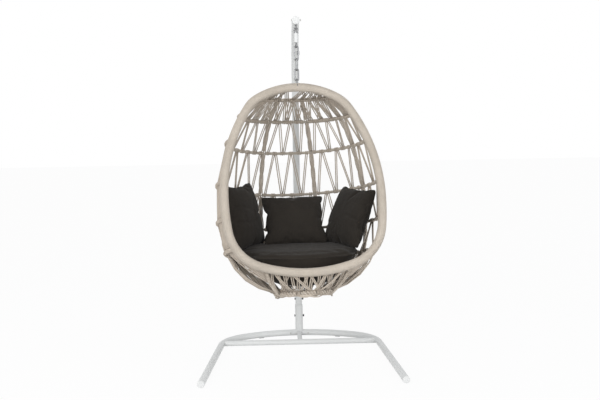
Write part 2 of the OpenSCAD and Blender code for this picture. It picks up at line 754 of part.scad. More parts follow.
module hoop_wrap(k) {
    gap = hoop_turn(k, rope_r + 1);
    e = hoop(k)[3] - hoop_turn(k, seat_length(k, rim_out_r, rope_r)) + gap;
    stops = concat([-e], [for (a = rib_azimuths) hoop_crossing(k, a)], [e]);
    color("tan") basket_frame() for (i = [0:len(stops) - 2])
        hoop_arc(k, stops[i] + gap, stops[i + 1] - gap, rope_r, rod_r + slip_gap);
}
module crown_hoop_wrap() {
    hoop_wrap(0);
}
module hoop_wrap_1() {
    hoop_wrap(1);
}
module hoop_wrap_2() {
    hoop_wrap(2);
}
module hoop_wrap_3() {
    hoop_wrap(3);
}
module hoop_wrap_4() {
    hoop_wrap(4);
}
module hoop_wrap_5() {
    hoop_wrap(5);
}
// Round tube through points, solid when ri is 0; side is a direction across the path
module sweep(points, side, ro, ri = 0, sides = 8) {
    n = len(points);
    along = [for (i = [0:n - 1]) unit(points[min(i + 1, n - 1)] - points[max(i - 1, 0)])];
    across = [for (t = along) unit(side - (side * t) * t)];
    function ring(i, r) = [for (j = [0:sides - 1])
        points[i] + r * (cos(360 * j / sides) * across[i] + sin(360 * j / sides) * cross(along[i], across[i]))];
    function skin(at, turned) = [for (i = [0:n - 2], j = [0:sides - 1], half = [0, 1])
        let (
            a = at + i * sides + j,
            b = at + i * sides + (j + 1) % sides,
            f = half == 0 ? [a, b + sides, b] : [a, a + sides, b + sides]
        )
        turned ? [f[0], f[2], f[1]] : f];
    outer = [for (i = [0:n - 1]) each ring(i, ro)];
    if (ri == 0) {
        low = [for (j = [0:sides - 1]) j];
        high = [for (j = [0:sides - 1]) n * sides - 1 - j];
        polyhedron(outer, concat(skin(0, false), [low], [high]));
    } else {
        inner = [for (i = [0:n - 1]) each ring(i, ri)];
        in = n * sides;
        last = (n - 1) * sides;
        ends = [for (j = [0:sides - 1], e = [0, 1]) let (m = (j + 1) % sides)
            e == 0 ? [j, m, in + m, in + j] : [last + m, last + j, in + last + j, in + last + m]];
        polyhedron(concat(outer, inner), concat(skin(0, false), skin(in, true), ends));
    }
}
rib_steps = 4;
function rib_path(knots) = [for (i = [0:rib_steps * (len(knots) - 1)]) smooth(knots, i / rib_steps)];
function between(path, t) = let (i = min(floor(t), len(path) - 2)) path[i] + (t - i) * (path[i + 1] - path[i]);
// Part of a path between places a and b, counted in its steps
function part_of(path, a, b) = concat(
    [between(path, a)],
    [for (i = [ceil(a + 0.2):floor(b - 0.2)]) path[i]],
    [between(path, b)]
);
function rib_side(azimuth) = [cos(azimuth), -sin(azimuth), 0];
module rib_rods() {
    color("gainsboro") basket_frame() {
        for (a = rib_azimuths) sweep(rib_path(rib_knots(a)), rib_side(a), rod_r);
        for (s = [-1, 1]) sweep(rib_path(front_rib_knots(s)), rib_side(s * front_rib_azimuth), rod_r);
    }
}
module back_rib_wraps() {
    color("tan") basket_frame() for (a = rib_azimuths) {
        k = rib_knots(a);
        path = rib_path(k);
        for (i = [0:len(k) - 2]) {
            g = (rope_r + 2) / norm(k[i + 1] - k[i]);
            sweep(part_of(path, rib_steps * (i + g), rib_steps * (i + 1 - g)), rib_side(a), rope_r, rod_r + slip_gap);
        }
    }
}
module front_rib_wraps() {
    color("tan") basket_frame() for (s = [-1, 1]) {
        k = front_rib_knots(s);
        d = front_rib_dir(s);
        t = rim_along(front_rib_heading, s);
        a = (end_lift(d, t, rim_out_r, rope_r) - end_lift(d, t, rim_r, rod_r)) / norm(k[1] - k[0]);
        b = (rope_r + 2) / norm(k[2] - k[1]);
        sweep(
            part_of(rib_path(k), rib_steps * a, rib_steps * (2 - b)),
            rib_side(s * front_rib_azimuth), rope_r, rod_r + slip_gap
        );
    }
}
module base_hoop() {
    color("gainsboro") basket_frame() translate([0, axis_back, base_hoop_z]) {
        rotate_extrude($fn = 96) translate([base_hoop_r, 0]) ring2d(rod_r);
        half = base_hoop_r * cos(bar_azimuth);
        for (x = [-1, 1]) translate([x * base_hoop_r * sin(bar_azimuth), half, 0])
            rotate([90, 0, 0]) cylinder(h = 2 * half, r = rod_r);
    }
}
module base_hoop_wrap() {
    azimuths = concat(
        rib_azimuths,
        [front_rib_azimuth, 180 - bar_azimuth, 180 + bar_azimuth, 360 - front_rib_azimuth, 360 + rib_azimuths[0]]
    );
    gap = (rope_r + 4) / base_hoop_r * 180 / PI;
    color("tan") basket_frame() translate([0, axis_back, base_hoop_z]) for (i = [0:len(azimuths) - 2]) {
        a = azimuths[i] + gap;
        b = azimuths[i + 1] - gap;
        rotate([0, 0, 90 - b]) rotate_extrude(angle = b - a, $fn = 96)
            translate([base_hoop_r, 0]) ring2d(rope_r, rod_r + slip_gap);
    }
}

// Lacing: a cord runs straight from seat to seat; a seat is [point, direction of the tube, its radius]
module cord(p, q) {
    d = unit(q[0] - p[0]);
    function lift(s) = (s[2] + fit_gap + cord_r * abs(d * s[1])) / sqrt(1 - pow(d * s[1], 2));
    a = p[0] + lift(p) * d;
    b = q[0] - lift(q) * d;
    v = b - a;
    translate(a) rotate([0, acos(v[2] / norm(v)), atan2(v[1], v[0])]) cylinder(h = norm(v), r = cord_r, $fn = 16);
}
function hoop_seat(k, a) = [hoop_point(k, a), hoop_along(k, a), rope_r];
function base_seat(a) = [base_point(a), [cos(a), -sin(a), 0], rope_r];
function rim_seat(h, side) = [rim_point(h, side), rim_along(h, side), rim_out_r];
// Angles on hoop k where its panels between ribs begin and end
function panel_stops(k) =
    let (e = hoop(k)[3] - hoop_turn(k, seat_length(k, rim_out_r, rope_r)))
    concat([-e], [for (a = rib_azimuths) hoop_crossing(k, a)], [e]);
// Fraction along a panel of node j, moved by length d to one side
function node_angle(stops, i, j, radius, d) =
    let (m = panel_margin / radius * 180 / PI, a = stops[i] + m, b = stops[i + 1] - m)
    a + (b - a) * j / cords_per_panel + d / radius * 180 / PI;
module lacing(k) {
    top = panel_stops(k);
    low = panel_stops(k + 1);
    color("tan") basket_frame() for (i = [0:len(top) - 2], j = [0:cords_per_panel - 1]) {
        t = j % 2 == 0 ? j + 1 : j;
        l = j % 2 == 0 ? j : j + 1;
        s = j % 2 == 0 ? cord_step : -cord_step;
        cord(
            hoop_seat(k, node_angle(top, i, t, hoop(k)[1], -s)),
            hoop_seat(k + 1, node_angle(low, i, l, hoop(k + 1)[1], s))
        );
    }
}
module crown_lacing() {
    n = 12;
    e = panel_stops(0)[5];
    color("tan") basket_frame() for (i = [0:n - 1]) {
        f = (2 * i + 1) / n - 1;
        cord(rim_seat(7 + 16 * abs(f), sign(f)), hoop_seat(0, f * e * 0.62));
    }
}
module back_lacing_1() {
    lacing(0);
}
module back_lacing_2() {
    lacing(1);
}
module back_lacing_3() {
    lacing(2);
}
module back_lacing_4() {
    lacing(3);
}
module back_lacing_5() {
    lacing(4);
}
module bowl_lacing() {
    stops = panel_stops(5);
    side = stops[5] - hoop_turn(5, side_cord_reach);
    top = [-side, stops[1], stops[2], stops[3], stops[4], side];
    low = concat([-front_rib_azimuth], rib_azimuths, [front_rib_azimuth]);
    color("tan") basket_frame() for (i = [0:len(top) - 2], j = [0:cords_per_panel - 1]) {
        t = j % 2 == 0 ? j + 1 : j;
        l = j % 2 == 0 ? j : j + 1;
        s = j % 2 == 0 ? cord_step : -cord_step;
        cord(
            hoop_seat(5, node_angle(top, i, t, hoop(5)[1], -s)),
            base_seat(node_angle(low, i, l, base_hoop_r, s))
        );
    }
}
module front_lacing() {
    n = 10;
    span = 180 - front_rib_heading;
    arc = 180 - front_rib_azimuth;
    color("tan") basket_frame() for (i = [0:n - 1]) {
        f = (i + 0.5) / n * 2 - 1;
        g = f + (i % 2 == 0 ? 0.5 : -0.5) / n;
        cord(rim_seat(180 - 0.8 * abs(f) * span, sign(f)), base_seat(180 - 0.82 * g * arc));
    }
}
module side_cords(side) {
    n = 4;
    e = hoop(5)[3];
    k = front_rib_knots(side);
    color("tan") basket_frame() for (i = [0:n - 1]) {
        t = (22 + 17 * i) / norm(k[1] - k[0]);
        p = smooth(k, t);
        cord([p, unit(smooth(k, t + 0.1) - p), rope_r], hoop_seat(5, side * (e - hoop_turn(5, 46 + 19 * i))));
    }
}
module side_cords_left() {
    side_cords(-1);
}
module side_cords_right() {
    side_cords(1);
}

// Soft parts, which stand level in the turned basket
// Disc with a round edge, thickness t
module puff(r, t) {
    edge = t / 2;
    rotate_extrude($fn = 32) {
        intersection() {
            translate([r - edge, 0]) circle(edge, $fn = 24);
            translate([0, -edge]) square([r, t]);
        }
        translate([0, -edge]) square([r - edge, t]);
    }
}
module seat_cushion() {
    edge_t = seat_t * 0.6;
    edge_rise = (seat_t - edge_t) / 2 - 4;
    color("dimgray") hang_frame() translate([0, 0, seat_z]) hull() {
        for (x = [-1, 1]) translate([0, 0, edge_rise]) {
            translate([x * (seat_w / 2 - seat_front_r), seat_front + seat_front_r, 0]) puff(seat_front_r, edge_t);
            translate([x * (seat_w / 2 - seat_back_r), seat_back - seat_back_r, 0]) puff(seat_back_r, edge_t);
        }
        translate([0, (seat_front + seat_back) / 2, 0]) puff(seat_w * 0.36, seat_t);
        translate([0, seat_belly_y, -seat_belly_drop]) puff(seat_belly_r, seat_belly_t);
    }
}
// Square pillow standing in the XZ plane on its lower edge
module pillow() {
    corner = 18;
    half = pillow_w / 2 - corner;
    hull() {
        for (x = [-half, half], z = [-half, half]) translate([x, 0, z]) sphere(corner, $fn = 24);
        rotate([90, 0, 0]) puff(pillow_w * 0.43, pillow_t * 0.62);
        rotate([90, 0, 0]) puff(pillow_w * 0.3, pillow_t);
    }
}
// Stands a pillow in its place: [azimuth, distance out, drop below the eye, lean]
module set_pillow(place) {
    color("dimgray") hang_frame() rotate([0, 0, -place[0]])
        translate([0, place[1], eye_z - place[2]]) rotate([-place[3], 0, 0]) pillow();
}
module pillow_left() {
    set_pillow(left_place);
}
module pillow_centre() {
    set_pillow(centre_place);
}
module pillow_right() {
    set_pillow(right_place);
}

base_hub();
leg_left();
leg_right();
leg_plugs();
crossbar();
brace_tube();
hub_bolts();
hub_nuts();
crossbar_bolts();
floor_pads();
pole_coupler();
curved_pole();
post_bolts();
post_nuts();
arm_plug();
hanger_eye();
hanger_bolt();
hanger_nut();
swivel_cap();
swivel_cover();
swivel_pin();
thrust_washer();
quick_link();
quick_link_nut();
chain_link_1();
chain_link_2();
basket_eye();
rim_tube();
rim_wrap();
hoop_rods();
rib_rods();
base_hoop();
crown_hoop_wrap();
hoop_wrap_1();
hoop_wrap_2();
hoop_wrap_3();
hoop_wrap_4();
hoop_wrap_5();
back_rib_wraps();
front_rib_wraps();
base_hoop_wrap();
crown_lacing();
back_lacing_1();
back_lacing_2();
back_lacing_3();
back_lacing_4();
back_lacing_5();
bowl_lacing();
front_lacing();
side_cords_left();
side_cords_right();
seat_cushion();
pillow_left();
pillow_centre();
pillow_right();
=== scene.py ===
import json
import math
import random
import bpy
from mathutils import Matrix, Vector, noise


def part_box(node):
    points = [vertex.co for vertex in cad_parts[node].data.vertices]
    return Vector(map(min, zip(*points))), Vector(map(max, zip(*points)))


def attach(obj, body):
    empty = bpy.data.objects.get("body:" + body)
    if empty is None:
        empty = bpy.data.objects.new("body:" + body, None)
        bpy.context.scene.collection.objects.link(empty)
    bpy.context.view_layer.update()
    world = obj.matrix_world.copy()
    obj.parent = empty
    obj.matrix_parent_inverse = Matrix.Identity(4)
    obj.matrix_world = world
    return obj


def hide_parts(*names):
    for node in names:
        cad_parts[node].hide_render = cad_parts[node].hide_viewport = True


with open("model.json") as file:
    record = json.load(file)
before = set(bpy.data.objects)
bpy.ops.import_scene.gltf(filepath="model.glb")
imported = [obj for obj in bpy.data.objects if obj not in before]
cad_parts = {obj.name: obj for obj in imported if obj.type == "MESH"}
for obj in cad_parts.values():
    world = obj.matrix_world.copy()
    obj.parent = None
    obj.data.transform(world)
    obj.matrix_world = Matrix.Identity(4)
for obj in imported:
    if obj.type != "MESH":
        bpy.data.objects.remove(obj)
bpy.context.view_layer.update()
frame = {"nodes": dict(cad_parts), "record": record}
nodes = frame["nodes"]
scene = bpy.context.scene
print("frame loaded:", len(nodes), "nodes")

# camera: lens and sensor in millimetres, place in metres, angles in degrees
shot = {
    "lens": 50.0, "sensor": 36.0, "place": (-0.09, -4.68, 1.29),
    "turn": -1.2, "pitch": 4.7, "roll": -1.0,
}


def turned(angle, axis):
    return Matrix.Rotation(math.radians(angle), 4, axis)


def placeCamera():
    data = bpy.data.cameras.new("shotCamera")
    data.lens = shot["lens"]
    data.sensor_width = shot["sensor"]
    camera = bpy.data.objects.new("shotCamera", data)
    scene.collection.objects.link(camera)
    camera.location = shot["place"]
    tip = turned(90 - shot["pitch"], "X")
    pose = turned(shot["turn"], "Z") @ tip @ turned(shot["roll"], "Z")
    camera.rotation_euler = pose.to_euler()
    scene.camera = camera


placeCamera()
scene.view_settings.view_transform = "Standard"


# an expression on wires adds its Math nodes
class Wire:
    def __init__(self, board, socket):
        self.board, self.socket = board, socket

    def combine(self, operation, *others):
        return self.board.node("ShaderNodeMath", {"operation": operation}, [self, *others])

    def __add__(self, other):
        return self.combine("ADD", other)

    __radd__ = __add__

    def __mul__(self, other):
        return self.combine("MULTIPLY", other)

    __rmul__ = __mul__

    def sine(self):
        return self.combine("SINE")

    def larger(self, other):
        return self.combine("MAXIMUM", other)

    def limited(self):
        settings = {"operation": "ADD", "use_clamp": True}
        return self.board.node("ShaderNodeMath", settings, [self, 0.0])


class Board:
    # a node tree; every node comes from one method
    def __init__(self, tree):
        self.tree = tree

    def node(self, kind, settings=None, values=(), output=0):
        made = self.tree.nodes.new(kind)
        for key, value in (settings or {}).items():
            if key == "stops":
                for element, (place, color) in zip(made.color_ramp.elements, value):
                    element.position = place
                    element.color = (*color, 1.0)
            else:
                setattr(made, key, value)
        pairs = values.items() if isinstance(values, dict) else enumerate(values)
        for key, value in pairs:
            self.feed(value, made.inputs[key])
        return Wire(self, made.outputs[output])

    def feed(self, value, socket):
        if isinstance(value, Wire):
            self.tree.links.new(value.socket, socket)
        else:
            socket.default_value = value


class Paint(Board):
    # a material with its Principled shader
    def __init__(self, name, **fixed):
        self.material = bpy.data.materials.new(name)
        self.material.use_nodes = True
        super().__init__(self.material.node_tree)
        self.shader = self.tree.nodes["Principled BSDF"]
        for key, value in fixed.items():
            self.shader.inputs[key.replace("_", " ")].default_value = value

    def place(self):
        return self.node("ShaderNodeTexCoord", output="Object")

    def split(self, vector):
        outputs = self.node("ShaderNodeSeparateXYZ", values=[vector]).socket.node.outputs
        return [Wire(self, outputs[i]) for i in range(3)]

    def noise(self, vector, scale, detail=2.0, roughness=0.5, stretch=None):
        if stretch:
            vector = self.node("ShaderNodeMapping", values={"Vector": vector, "Scale": stretch})
        values = {"Vector": vector, "Scale": scale, "Detail": detail, "Roughness": roughness}
        return self.node("ShaderNodeTexNoise", values=values)

    def cells(self, vector, scale):
        values = {"Vector": vector, "Scale": scale}
        return self.node("ShaderNodeTexVoronoi", values=values, output="Distance")

    def span(self, value, low, high, toLow=0.0, toHigh=1.0):
        limits = {"From Min": low, "From Max": high, "To Min": toLow, "To Max": toHigh}
        return self.node("ShaderNodeMapRange", values={"Value": value, **limits})

    def mix(self, factor, first, second):
        made = self.node("ShaderNodeMix", {"data_type": "RGBA"}, {"Factor": factor})
        mixer = made.socket.node
        sockets = [s for s in mixer.inputs if s.type == "RGBA"]
        for socket, color in zip(sockets, (first, second)):
            self.feed((*color, 1.0) if isinstance(color, tuple) else color, socket)
        return Wire(self, [s for s in mixer.outputs if s.type == "RGBA"][0])

    def bump(self, height, depth, strength, under=None):
        values = {"Height": height, "Distance": depth, "Strength": strength}
        if under:
            values["Normal"] = under
        return self.node("ShaderNodeBump", values=values)

    def finish(self, color, roughness, normal, metallic=None):
        names = ("Base Color", "Roughness", "Normal", "Metallic")
        for key, wire in zip(names, (color, roughness, normal, metallic)):
            if wire:
                self.feed(wire, self.shader.inputs[key])
        return self.material


# floor: the camera sees a share of its shading, which keeps the shadow
floorLook = {
    "size": 60.0, "share": 0.06, "roughness": 0.9, "speck": 3.0,
    "tones": ((0.3, (0.79, 0.79, 0.79)), (0.7, (0.81, 0.81, 0.81))),
}


def makeFloor():
    bpy.ops.mesh.primitive_plane_add(size=floorLook["size"])
    floor = bpy.context.object
    floor.name = "studioFloor"
    paint = Paint("studioFloorPaint", Roughness=floorLook["roughness"])
    speck = paint.noise(paint.place(), floorLook["speck"], 3.0)
    color = paint.node("ShaderNodeValToRGB", {"stops": floorLook["tones"]}, [speck])
    paint.feed(color, paint.shader.inputs["Base Color"])
    camera = paint.node("ShaderNodeLightPath", output="Is Camera Ray")
    glossy = paint.node("ShaderNodeLightPath", output="Is Glossy Ray")
    glow = paint.node("ShaderNodeEmission", values={"Color": (1, 1, 1, 1), "Strength": 1.0})
    factor = camera.larger(glossy) * (1 - floorLook["share"])
    shaded = Wire(paint, paint.shader.outputs[0])
    mixed = paint.node("ShaderNodeMixShader", values=[factor, shaded, glow])
    paint.feed(mixed, paint.tree.nodes["Material Output"].inputs["Surface"])
    floor.data.materials.append(paint.material)


# light: the world looks white, and a softer tint lights the object
lightLook = {
    "tint": (0.97, 0.985, 1.0), "world": 0.72, "size": 3.0, "aim": (0, 0, 0.9),
    "lamps": (("keyLamp", (-2.4, -4.4, 2.5), 120.0), ("fillLamp", (2.6, -4.6, 1.0), 95.0)),
}


def makeWorld():
    world = bpy.data.worlds.new("studioWorld")
    scene.world = world
    world.use_nodes = True
    board = Board(world.node_tree)
    board.tree.nodes.clear()
    camera, glossy, through = [
        board.node("ShaderNodeLightPath", output=ray)
        for ray in ("Is Camera Ray", "Is Glossy Ray", "Is Transmission Ray")
    ]
    lit = {"Color": (*lightLook["tint"], 1), "Strength": lightLook["world"]}
    light = board.node("ShaderNodeBackground", values=lit)
    plain = board.node("ShaderNodeBackground", values={"Color": (1, 1, 1, 1), "Strength": 1})
    seen = camera.larger(glossy).larger(through)
    chosen = board.node("ShaderNodeMixShader", values=[seen, light, plain])
    board.feed(chosen, board.tree.nodes.new("ShaderNodeOutputWorld").inputs["Surface"])


def makeLamps():
    for name, place, power in lightLook["lamps"]:
        lamp = bpy.data.lights.new(name, "AREA")
        lamp.shape = "DISK"
        lamp.size = lightLook["size"]
        lamp.energy = power
        holder = bpy.data.objects.new(name, lamp)
        scene.collection.objects.link(holder)
        holder.location = place
        away = Vector(place) - Vector(lightLook["aim"])
        holder.rotation_euler = away.to_track_quat("Z", "Y").to_euler()


makeFloor()
makeWorld()
makeLamps()
print("camera, floor and lights placed")


# the basket's own lines, as the solids have them, in metres and degrees
basket = {
    "turn": 8.0, "lean": 11.0, "rimTilt": 5.4, "axisBack": 0.107, "crownRise": 0.043,
    "wire": 0.008, "bow": 0.010, "eyeLift": 0.004,
    "rimTube": 0.016, "rimOut": 0.0239, "rod": 0.004, "rope": 0.0092, "fitGap": 0.0003,
    "rimArcs": [(0.430, 32), (0.150, 24), (0.890, 34), (1.270, 8), (0.240, 64)],
    "eggArcs": [(0.360, 56), (0.905, 34), (1.300, 10), (0.150, 18)],
    "hoopSeats": [(26, 30), (59, 55), (69, 68), (84, 84), (95, 95), (122, 121)],
    "ribAzimuths": [-64, -21.3, 21.3, 64],
    "frontRibHeading": 163, "frontRibAzimuth": 110,
    "frontRibBulge": 0.010, "frontBulgeHeading": 130,
    "baseRadius": 0.150, "barAzimuth": 20, "cordsPerPanel": 5, "cordStep": 0.0055,
    "panelMargin": 0.0192, "sideReach": 0.112,
}


def sin(angle):
    return math.sin(math.radians(angle))


def cos(angle):
    return math.cos(math.radians(angle))


hangY = sum(corner.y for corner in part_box("swivel_cover")) / 2
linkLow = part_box("chain_link_2")[0].z
eyeZ = linkLow + basket["wire"] * 1.5 + basket["fitGap"] - basket["bow"]
eyeRise = basket["rimOut"] + basket["wire"] + basket["eyeLift"]
basketFrame = (
    Matrix.Translation((0, hangY, eyeZ))
    @ turned(basket["turn"], "Z")
    @ turned(-basket["lean"], "X")
    @ Matrix.Translation((0, 0, -eyeRise))
)
hangFrame = Matrix.Translation((0, hangY, 0)) @ turned(basket["turn"], "Z")


def chainPose(chain, count):
    # where a chain of tangent arcs stands after its first arcs
    x, y, heading = 0.0, 0.0, 0.0
    for radius, turn in chain[:count]:
        end = heading + turn
        x, y = x + radius * (sin(end) - sin(heading)), y + radius * (cos(end) - cos(heading))
        heading = end
    return x, y, heading


def closedChain(chain):
    # one more arc brings the chain back to its middle line
    x, y, heading = chainPose(chain, len(chain))
    return [*chain, (x / sin(heading), 180 - heading)]


rimChain = closedChain(basket["rimArcs"])
eggChain = closedChain(basket["eggArcs"])


def chainPlace(chain, heading):
    for i in range(len(chain)):
        if i == len(chain) - 1 or heading <= chainPose(chain, i + 1)[2]:
            break
    x, y, start = chainPose(chain, i)
    radius = chain[i][0]
    return x + radius * (sin(heading) - sin(start)), y + radius * (cos(heading) - cos(start))


def rimPoint(heading, side=1):
    x, y = chainPlace(rimChain, heading)
    return Vector((side * x, y * sin(basket["rimTilt"]), y * cos(basket["rimTilt"])))


def rimAlong(heading, side=1):
    tilt = basket["rimTilt"]
    return Vector((side * cos(heading), -sin(heading) * sin(tilt), -sin(heading) * cos(tilt)))


def eggPoint(heading, azimuth):
    x, y = chainPlace(eggChain, heading)
    back = basket["axisBack"] + x * cos(azimuth)
    return Vector((x * sin(azimuth), back, basket["crownRise"] + y))


def makeHoop(k):
    # the circle through the rim on both sides and the back egg's middle line
    rimHeading, eggHeading = basket["hoopSeats"][k]
    p = rimPoint(rimHeading)
    b = eggPoint(eggHeading, 0)
    depth = math.hypot(b.y - p.y, b.z - p.z)
    tilt = math.degrees(math.atan2(b.z - p.z, b.y - p.y))
    radius = (p.x * p.x + depth * depth) / (2 * depth)
    return {
        "centre": b - radius * Vector((0, cos(tilt), sin(tilt))),
        "radius": radius,
        "tilt": tilt,
        "end": math.degrees(math.atan2(p.x, radius - depth)),
    }


hoops = [makeHoop(k) for k in range(len(basket["hoopSeats"]))]
lastHoop = len(hoops) - 1


def hoopPoint(k, a):
    h = hoops[k]
    spoke = Vector((sin(a), cos(a) * cos(h["tilt"]), cos(a) * sin(h["tilt"])))
    return h["centre"] + h["radius"] * spoke


def hoopAlong(k, a):
    tilt = hoops[k]["tilt"]
    return Vector((cos(a), -sin(a) * cos(tilt), -sin(a) * sin(tilt)))


def hoopNormal(k):
    tilt = hoops[k]["tilt"]
    return Vector((0, -sin(tilt), cos(tilt)))


def hoopTurn(k, length):
    return math.degrees(length / hoops[k]["radius"])


def hoopCrossing(k, azimuth):
    # the hoop's angle where a rib at this azimuth crosses it
    h = hoops[k]
    x, y = cos(azimuth), cos(h["tilt"]) * sin(azimuth)
    e = (h["centre"].y - basket["axisBack"]) * sin(azimuth)
    return math.degrees(math.atan2(y, x) + math.asin(e / (h["radius"] * math.hypot(x, y))))


def endLift(direction, along, clear, thick):
    # how far a round end stands back from a round bar that it meets askew
    s = abs(direction.dot(along))
    return (clear + basket["fitGap"] + thick * s) / math.sqrt(1 - s * s)


def hoopStops(k):
    # the hoop's angles at its ribs and at its two ends
    end = hoops[k]["end"]
    rimRun = rimAlong(basket["hoopSeats"][k][0])
    end -= hoopTurn(k, endLift(hoopAlong(k, end), rimRun, basket["rimOut"], basket["rope"]))
    return [-end, *[hoopCrossing(k, a) for a in basket["ribAzimuths"]], end]


baseHeading = 180 - math.degrees(math.asin(basket["baseRadius"] / eggChain[-1][0]))
baseZ = eggPoint(baseHeading, 0).z


def basePoint(azimuth):
    r = basket["baseRadius"]
    return Vector((r * sin(azimuth), basket["axisBack"] + r * cos(azimuth), baseZ))


def outward(azimuth, heading):
    return Vector((sin(azimuth) * sin(heading), cos(azimuth) * sin(heading), cos(heading)))


ribOut = 2 * basket["rod"] + basket["fitGap"]


def ribKnots(azimuth):
    knots = [
        hoopPoint(k, hoopCrossing(k, azimuth)) + ribOut * outward(azimuth, seat[1])
        for k, seat in enumerate(basket["hoopSeats"])
    ]
    return [*knots, basePoint(azimuth) + ribOut * outward(azimuth, baseHeading)]


def frontRibFoot(side):
    azimuth = side * basket["frontRibAzimuth"]
    return basePoint(azimuth) + (ribOut + basket["fitGap"]) * outward(azimuth, baseHeading)


def frontRibRun(side):
    # the way a front rib leaves the rim, and the rim's own way there
    heading = basket["frontRibHeading"]
    return (frontRibFoot(side) - rimPoint(heading, side)).normalized(), rimAlong(heading, side)


def frontRibKnots(side):
    d, along = frontRibRun(side)
    lift = endLift(d, along, basket["rimTube"], basket["rod"])
    p = rimPoint(basket["frontRibHeading"], side) + lift * d
    q = frontRibFoot(side)
    bulge = outward(side * basket["frontRibAzimuth"], basket["frontBulgeHeading"])
    return [p, (p + q) / 2 + basket["frontRibBulge"] * bulge, q]


def smoothPoint(knots, t):
    # a smooth curve through the knots; t counts knots from the first
    n = len(knots) - 1
    i = min(int(t), n - 1)
    u = t - i
    a = knots[i - 1] if i > 0 else 2 * knots[0] - knots[1]
    b, c = knots[i], knots[i + 1]
    d = knots[i + 2] if i < n - 1 else 2 * knots[n] - knots[n - 1]
    bent = (2 * a - 5 * b + 4 * c - d) * u * u
    return 0.5 * (2 * b + (c - a) * u + bent + (3 * b - a - 3 * c + d) * u**3)


# tubes and ropes
def crossOf(along, side):
    return (side - side.dot(along) * along).normalized()


def newParts():
    return {"points": [], "faces": [], "wraps": []}


def addTube(parts, points, radius, sides, closed=False):
    # a round tube along the points; its wrap map runs along and round it
    count = len(points)

    def near(i):
        return points[i % count if closed else max(0, min(i, count - 1))]

    alongs = [(near(i + 1) - near(i - 1)).normalized() for i in range(count)]
    upright = abs(alongs[0].z) >= 0.9
    across = crossOf(alongs[0], Vector((1, 0, 0) if upright else (0, 0, 1)))
    start, length = len(parts["points"]), 0.0
    lengths = []
    for i, (point, along) in enumerate(zip(points, alongs)):
        across = crossOf(along, across)
        other = along.cross(across)
        for j in range(sides):
            turn = 2 * math.pi * j / sides
            spoke = math.cos(turn) * across + math.sin(turn) * other
            parts["points"].append(point + radius * spoke)
        lengths.append(length)
        length += (points[(i + 1) % count] - point).length
    lengths.append(length)
    for i in range(count if closed else count - 1):
        a, b = start + i * sides, start + ((i + 1) % count) * sides
        for j in range(sides):
            m = (j + 1) % sides
            parts["faces"].append((a + j, a + m, b + m, b + j))
            low, high = j / sides, (j + 1) / sides
            parts["wraps"] += [(lengths[i], low), (lengths[i], high)]
            parts["wraps"] += [(lengths[i + 1], high), (lengths[i + 1], low)]
    if not closed:
        parts["faces"].append(tuple(start + j for j in reversed(range(sides))))
        parts["faces"].append(tuple(start + (count - 1) * sides + j for j in range(sides)))
        parts["wraps"] += [(0.0, 0.0)] * sides + [(length, 0.0)] * sides


def addCoil(parts, line, side, reach, coil, phase=0.0):
    # a cord wound round the line at this reach, its first spoke pointing to the side
    lengths = [0.0]
    for a, b in zip(line, line[1:]):
        lengths.append(lengths[-1] + (b - a).length)
    steps = max(2, round(lengths[-1] / coil["pitch"] * coil["perTurn"]))
    points, i = [], 0
    for step in range(steps + 1):
        s = lengths[-1] * step / steps
        while i < len(line) - 2 and s > lengths[i + 1]:
            i += 1
        f = (s - lengths[i]) / (lengths[i + 1] - lengths[i])
        before, after = max(i - 1, 0), min(i + 2, len(line) - 1)
        first = (line[i + 1] - line[before]).normalized()
        second = (line[after] - line[i]).normalized()
        along = (first * (1 - f) + second * f).normalized()
        across = crossOf(along, side)
        turn = phase + 2 * math.pi * s / coil["pitch"]
        spoke = math.cos(turn) * across + math.sin(turn) * along.cross(across)
        points.append(line[i] * (1 - f) + line[i + 1] * f + reach * spoke)
    addTube(parts, points, coil["radius"], coil["sides"])


def settle(piece, slotName, *replaced):
    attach(piece, "basket")
    if replaced:
        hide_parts(*replaced)
    print("made", piece.name, len(piece.data.polygons), "faces")


def shadeSmooth(mesh):
    mesh.polygons.foreach_set("use_smooth", [True] * len(mesh.polygons))


def makePiece(name, parts, matrix, material, slotName, *replaced):
    mesh = bpy.data.meshes.new(name)
    mesh.from_pydata([matrix @ p for p in parts["points"]], [], parts["faces"])
    mesh.update()
    wraps = mesh.uv_layers.new(name="wrap")
    wraps.data.foreach_set("uv", [c for pair in parts["wraps"] for c in pair])
    shadeSmooth(mesh)
    mesh.materials.append(material)
    piece = bpy.data.objects.new(name, mesh)
    scene.collection.objects.link(piece)
    settle(piece, slotName, *replaced)
    return piece


# rope and cord: plies wound along the wrap map, with fibres, stains and painted shade in the
# grooves between the plies
fibreLook = {
    "plies": 3.0, "roughness": 0.82, "roughSpread": 0.1, "gloss": 0.3, "relief": 0.8,
    "fibre": 900.0, "patch": 9.0, "fleck": 140.0,
    "patchTone": 0.55, "fleckTone": 0.3, "paintedGrooveShade": 0.22,
}
ropeLook = {
    "pale": (0.645, 0.585, 0.51), "dark": (0.48, 0.425, 0.36), "lay": 0.016, "depth": 0.0007,
}
cordLook = {"pale": (0.57, 0.505, 0.43), "dark": (0.37, 0.315, 0.26), "lay": 0.007, "depth": 0.0004}


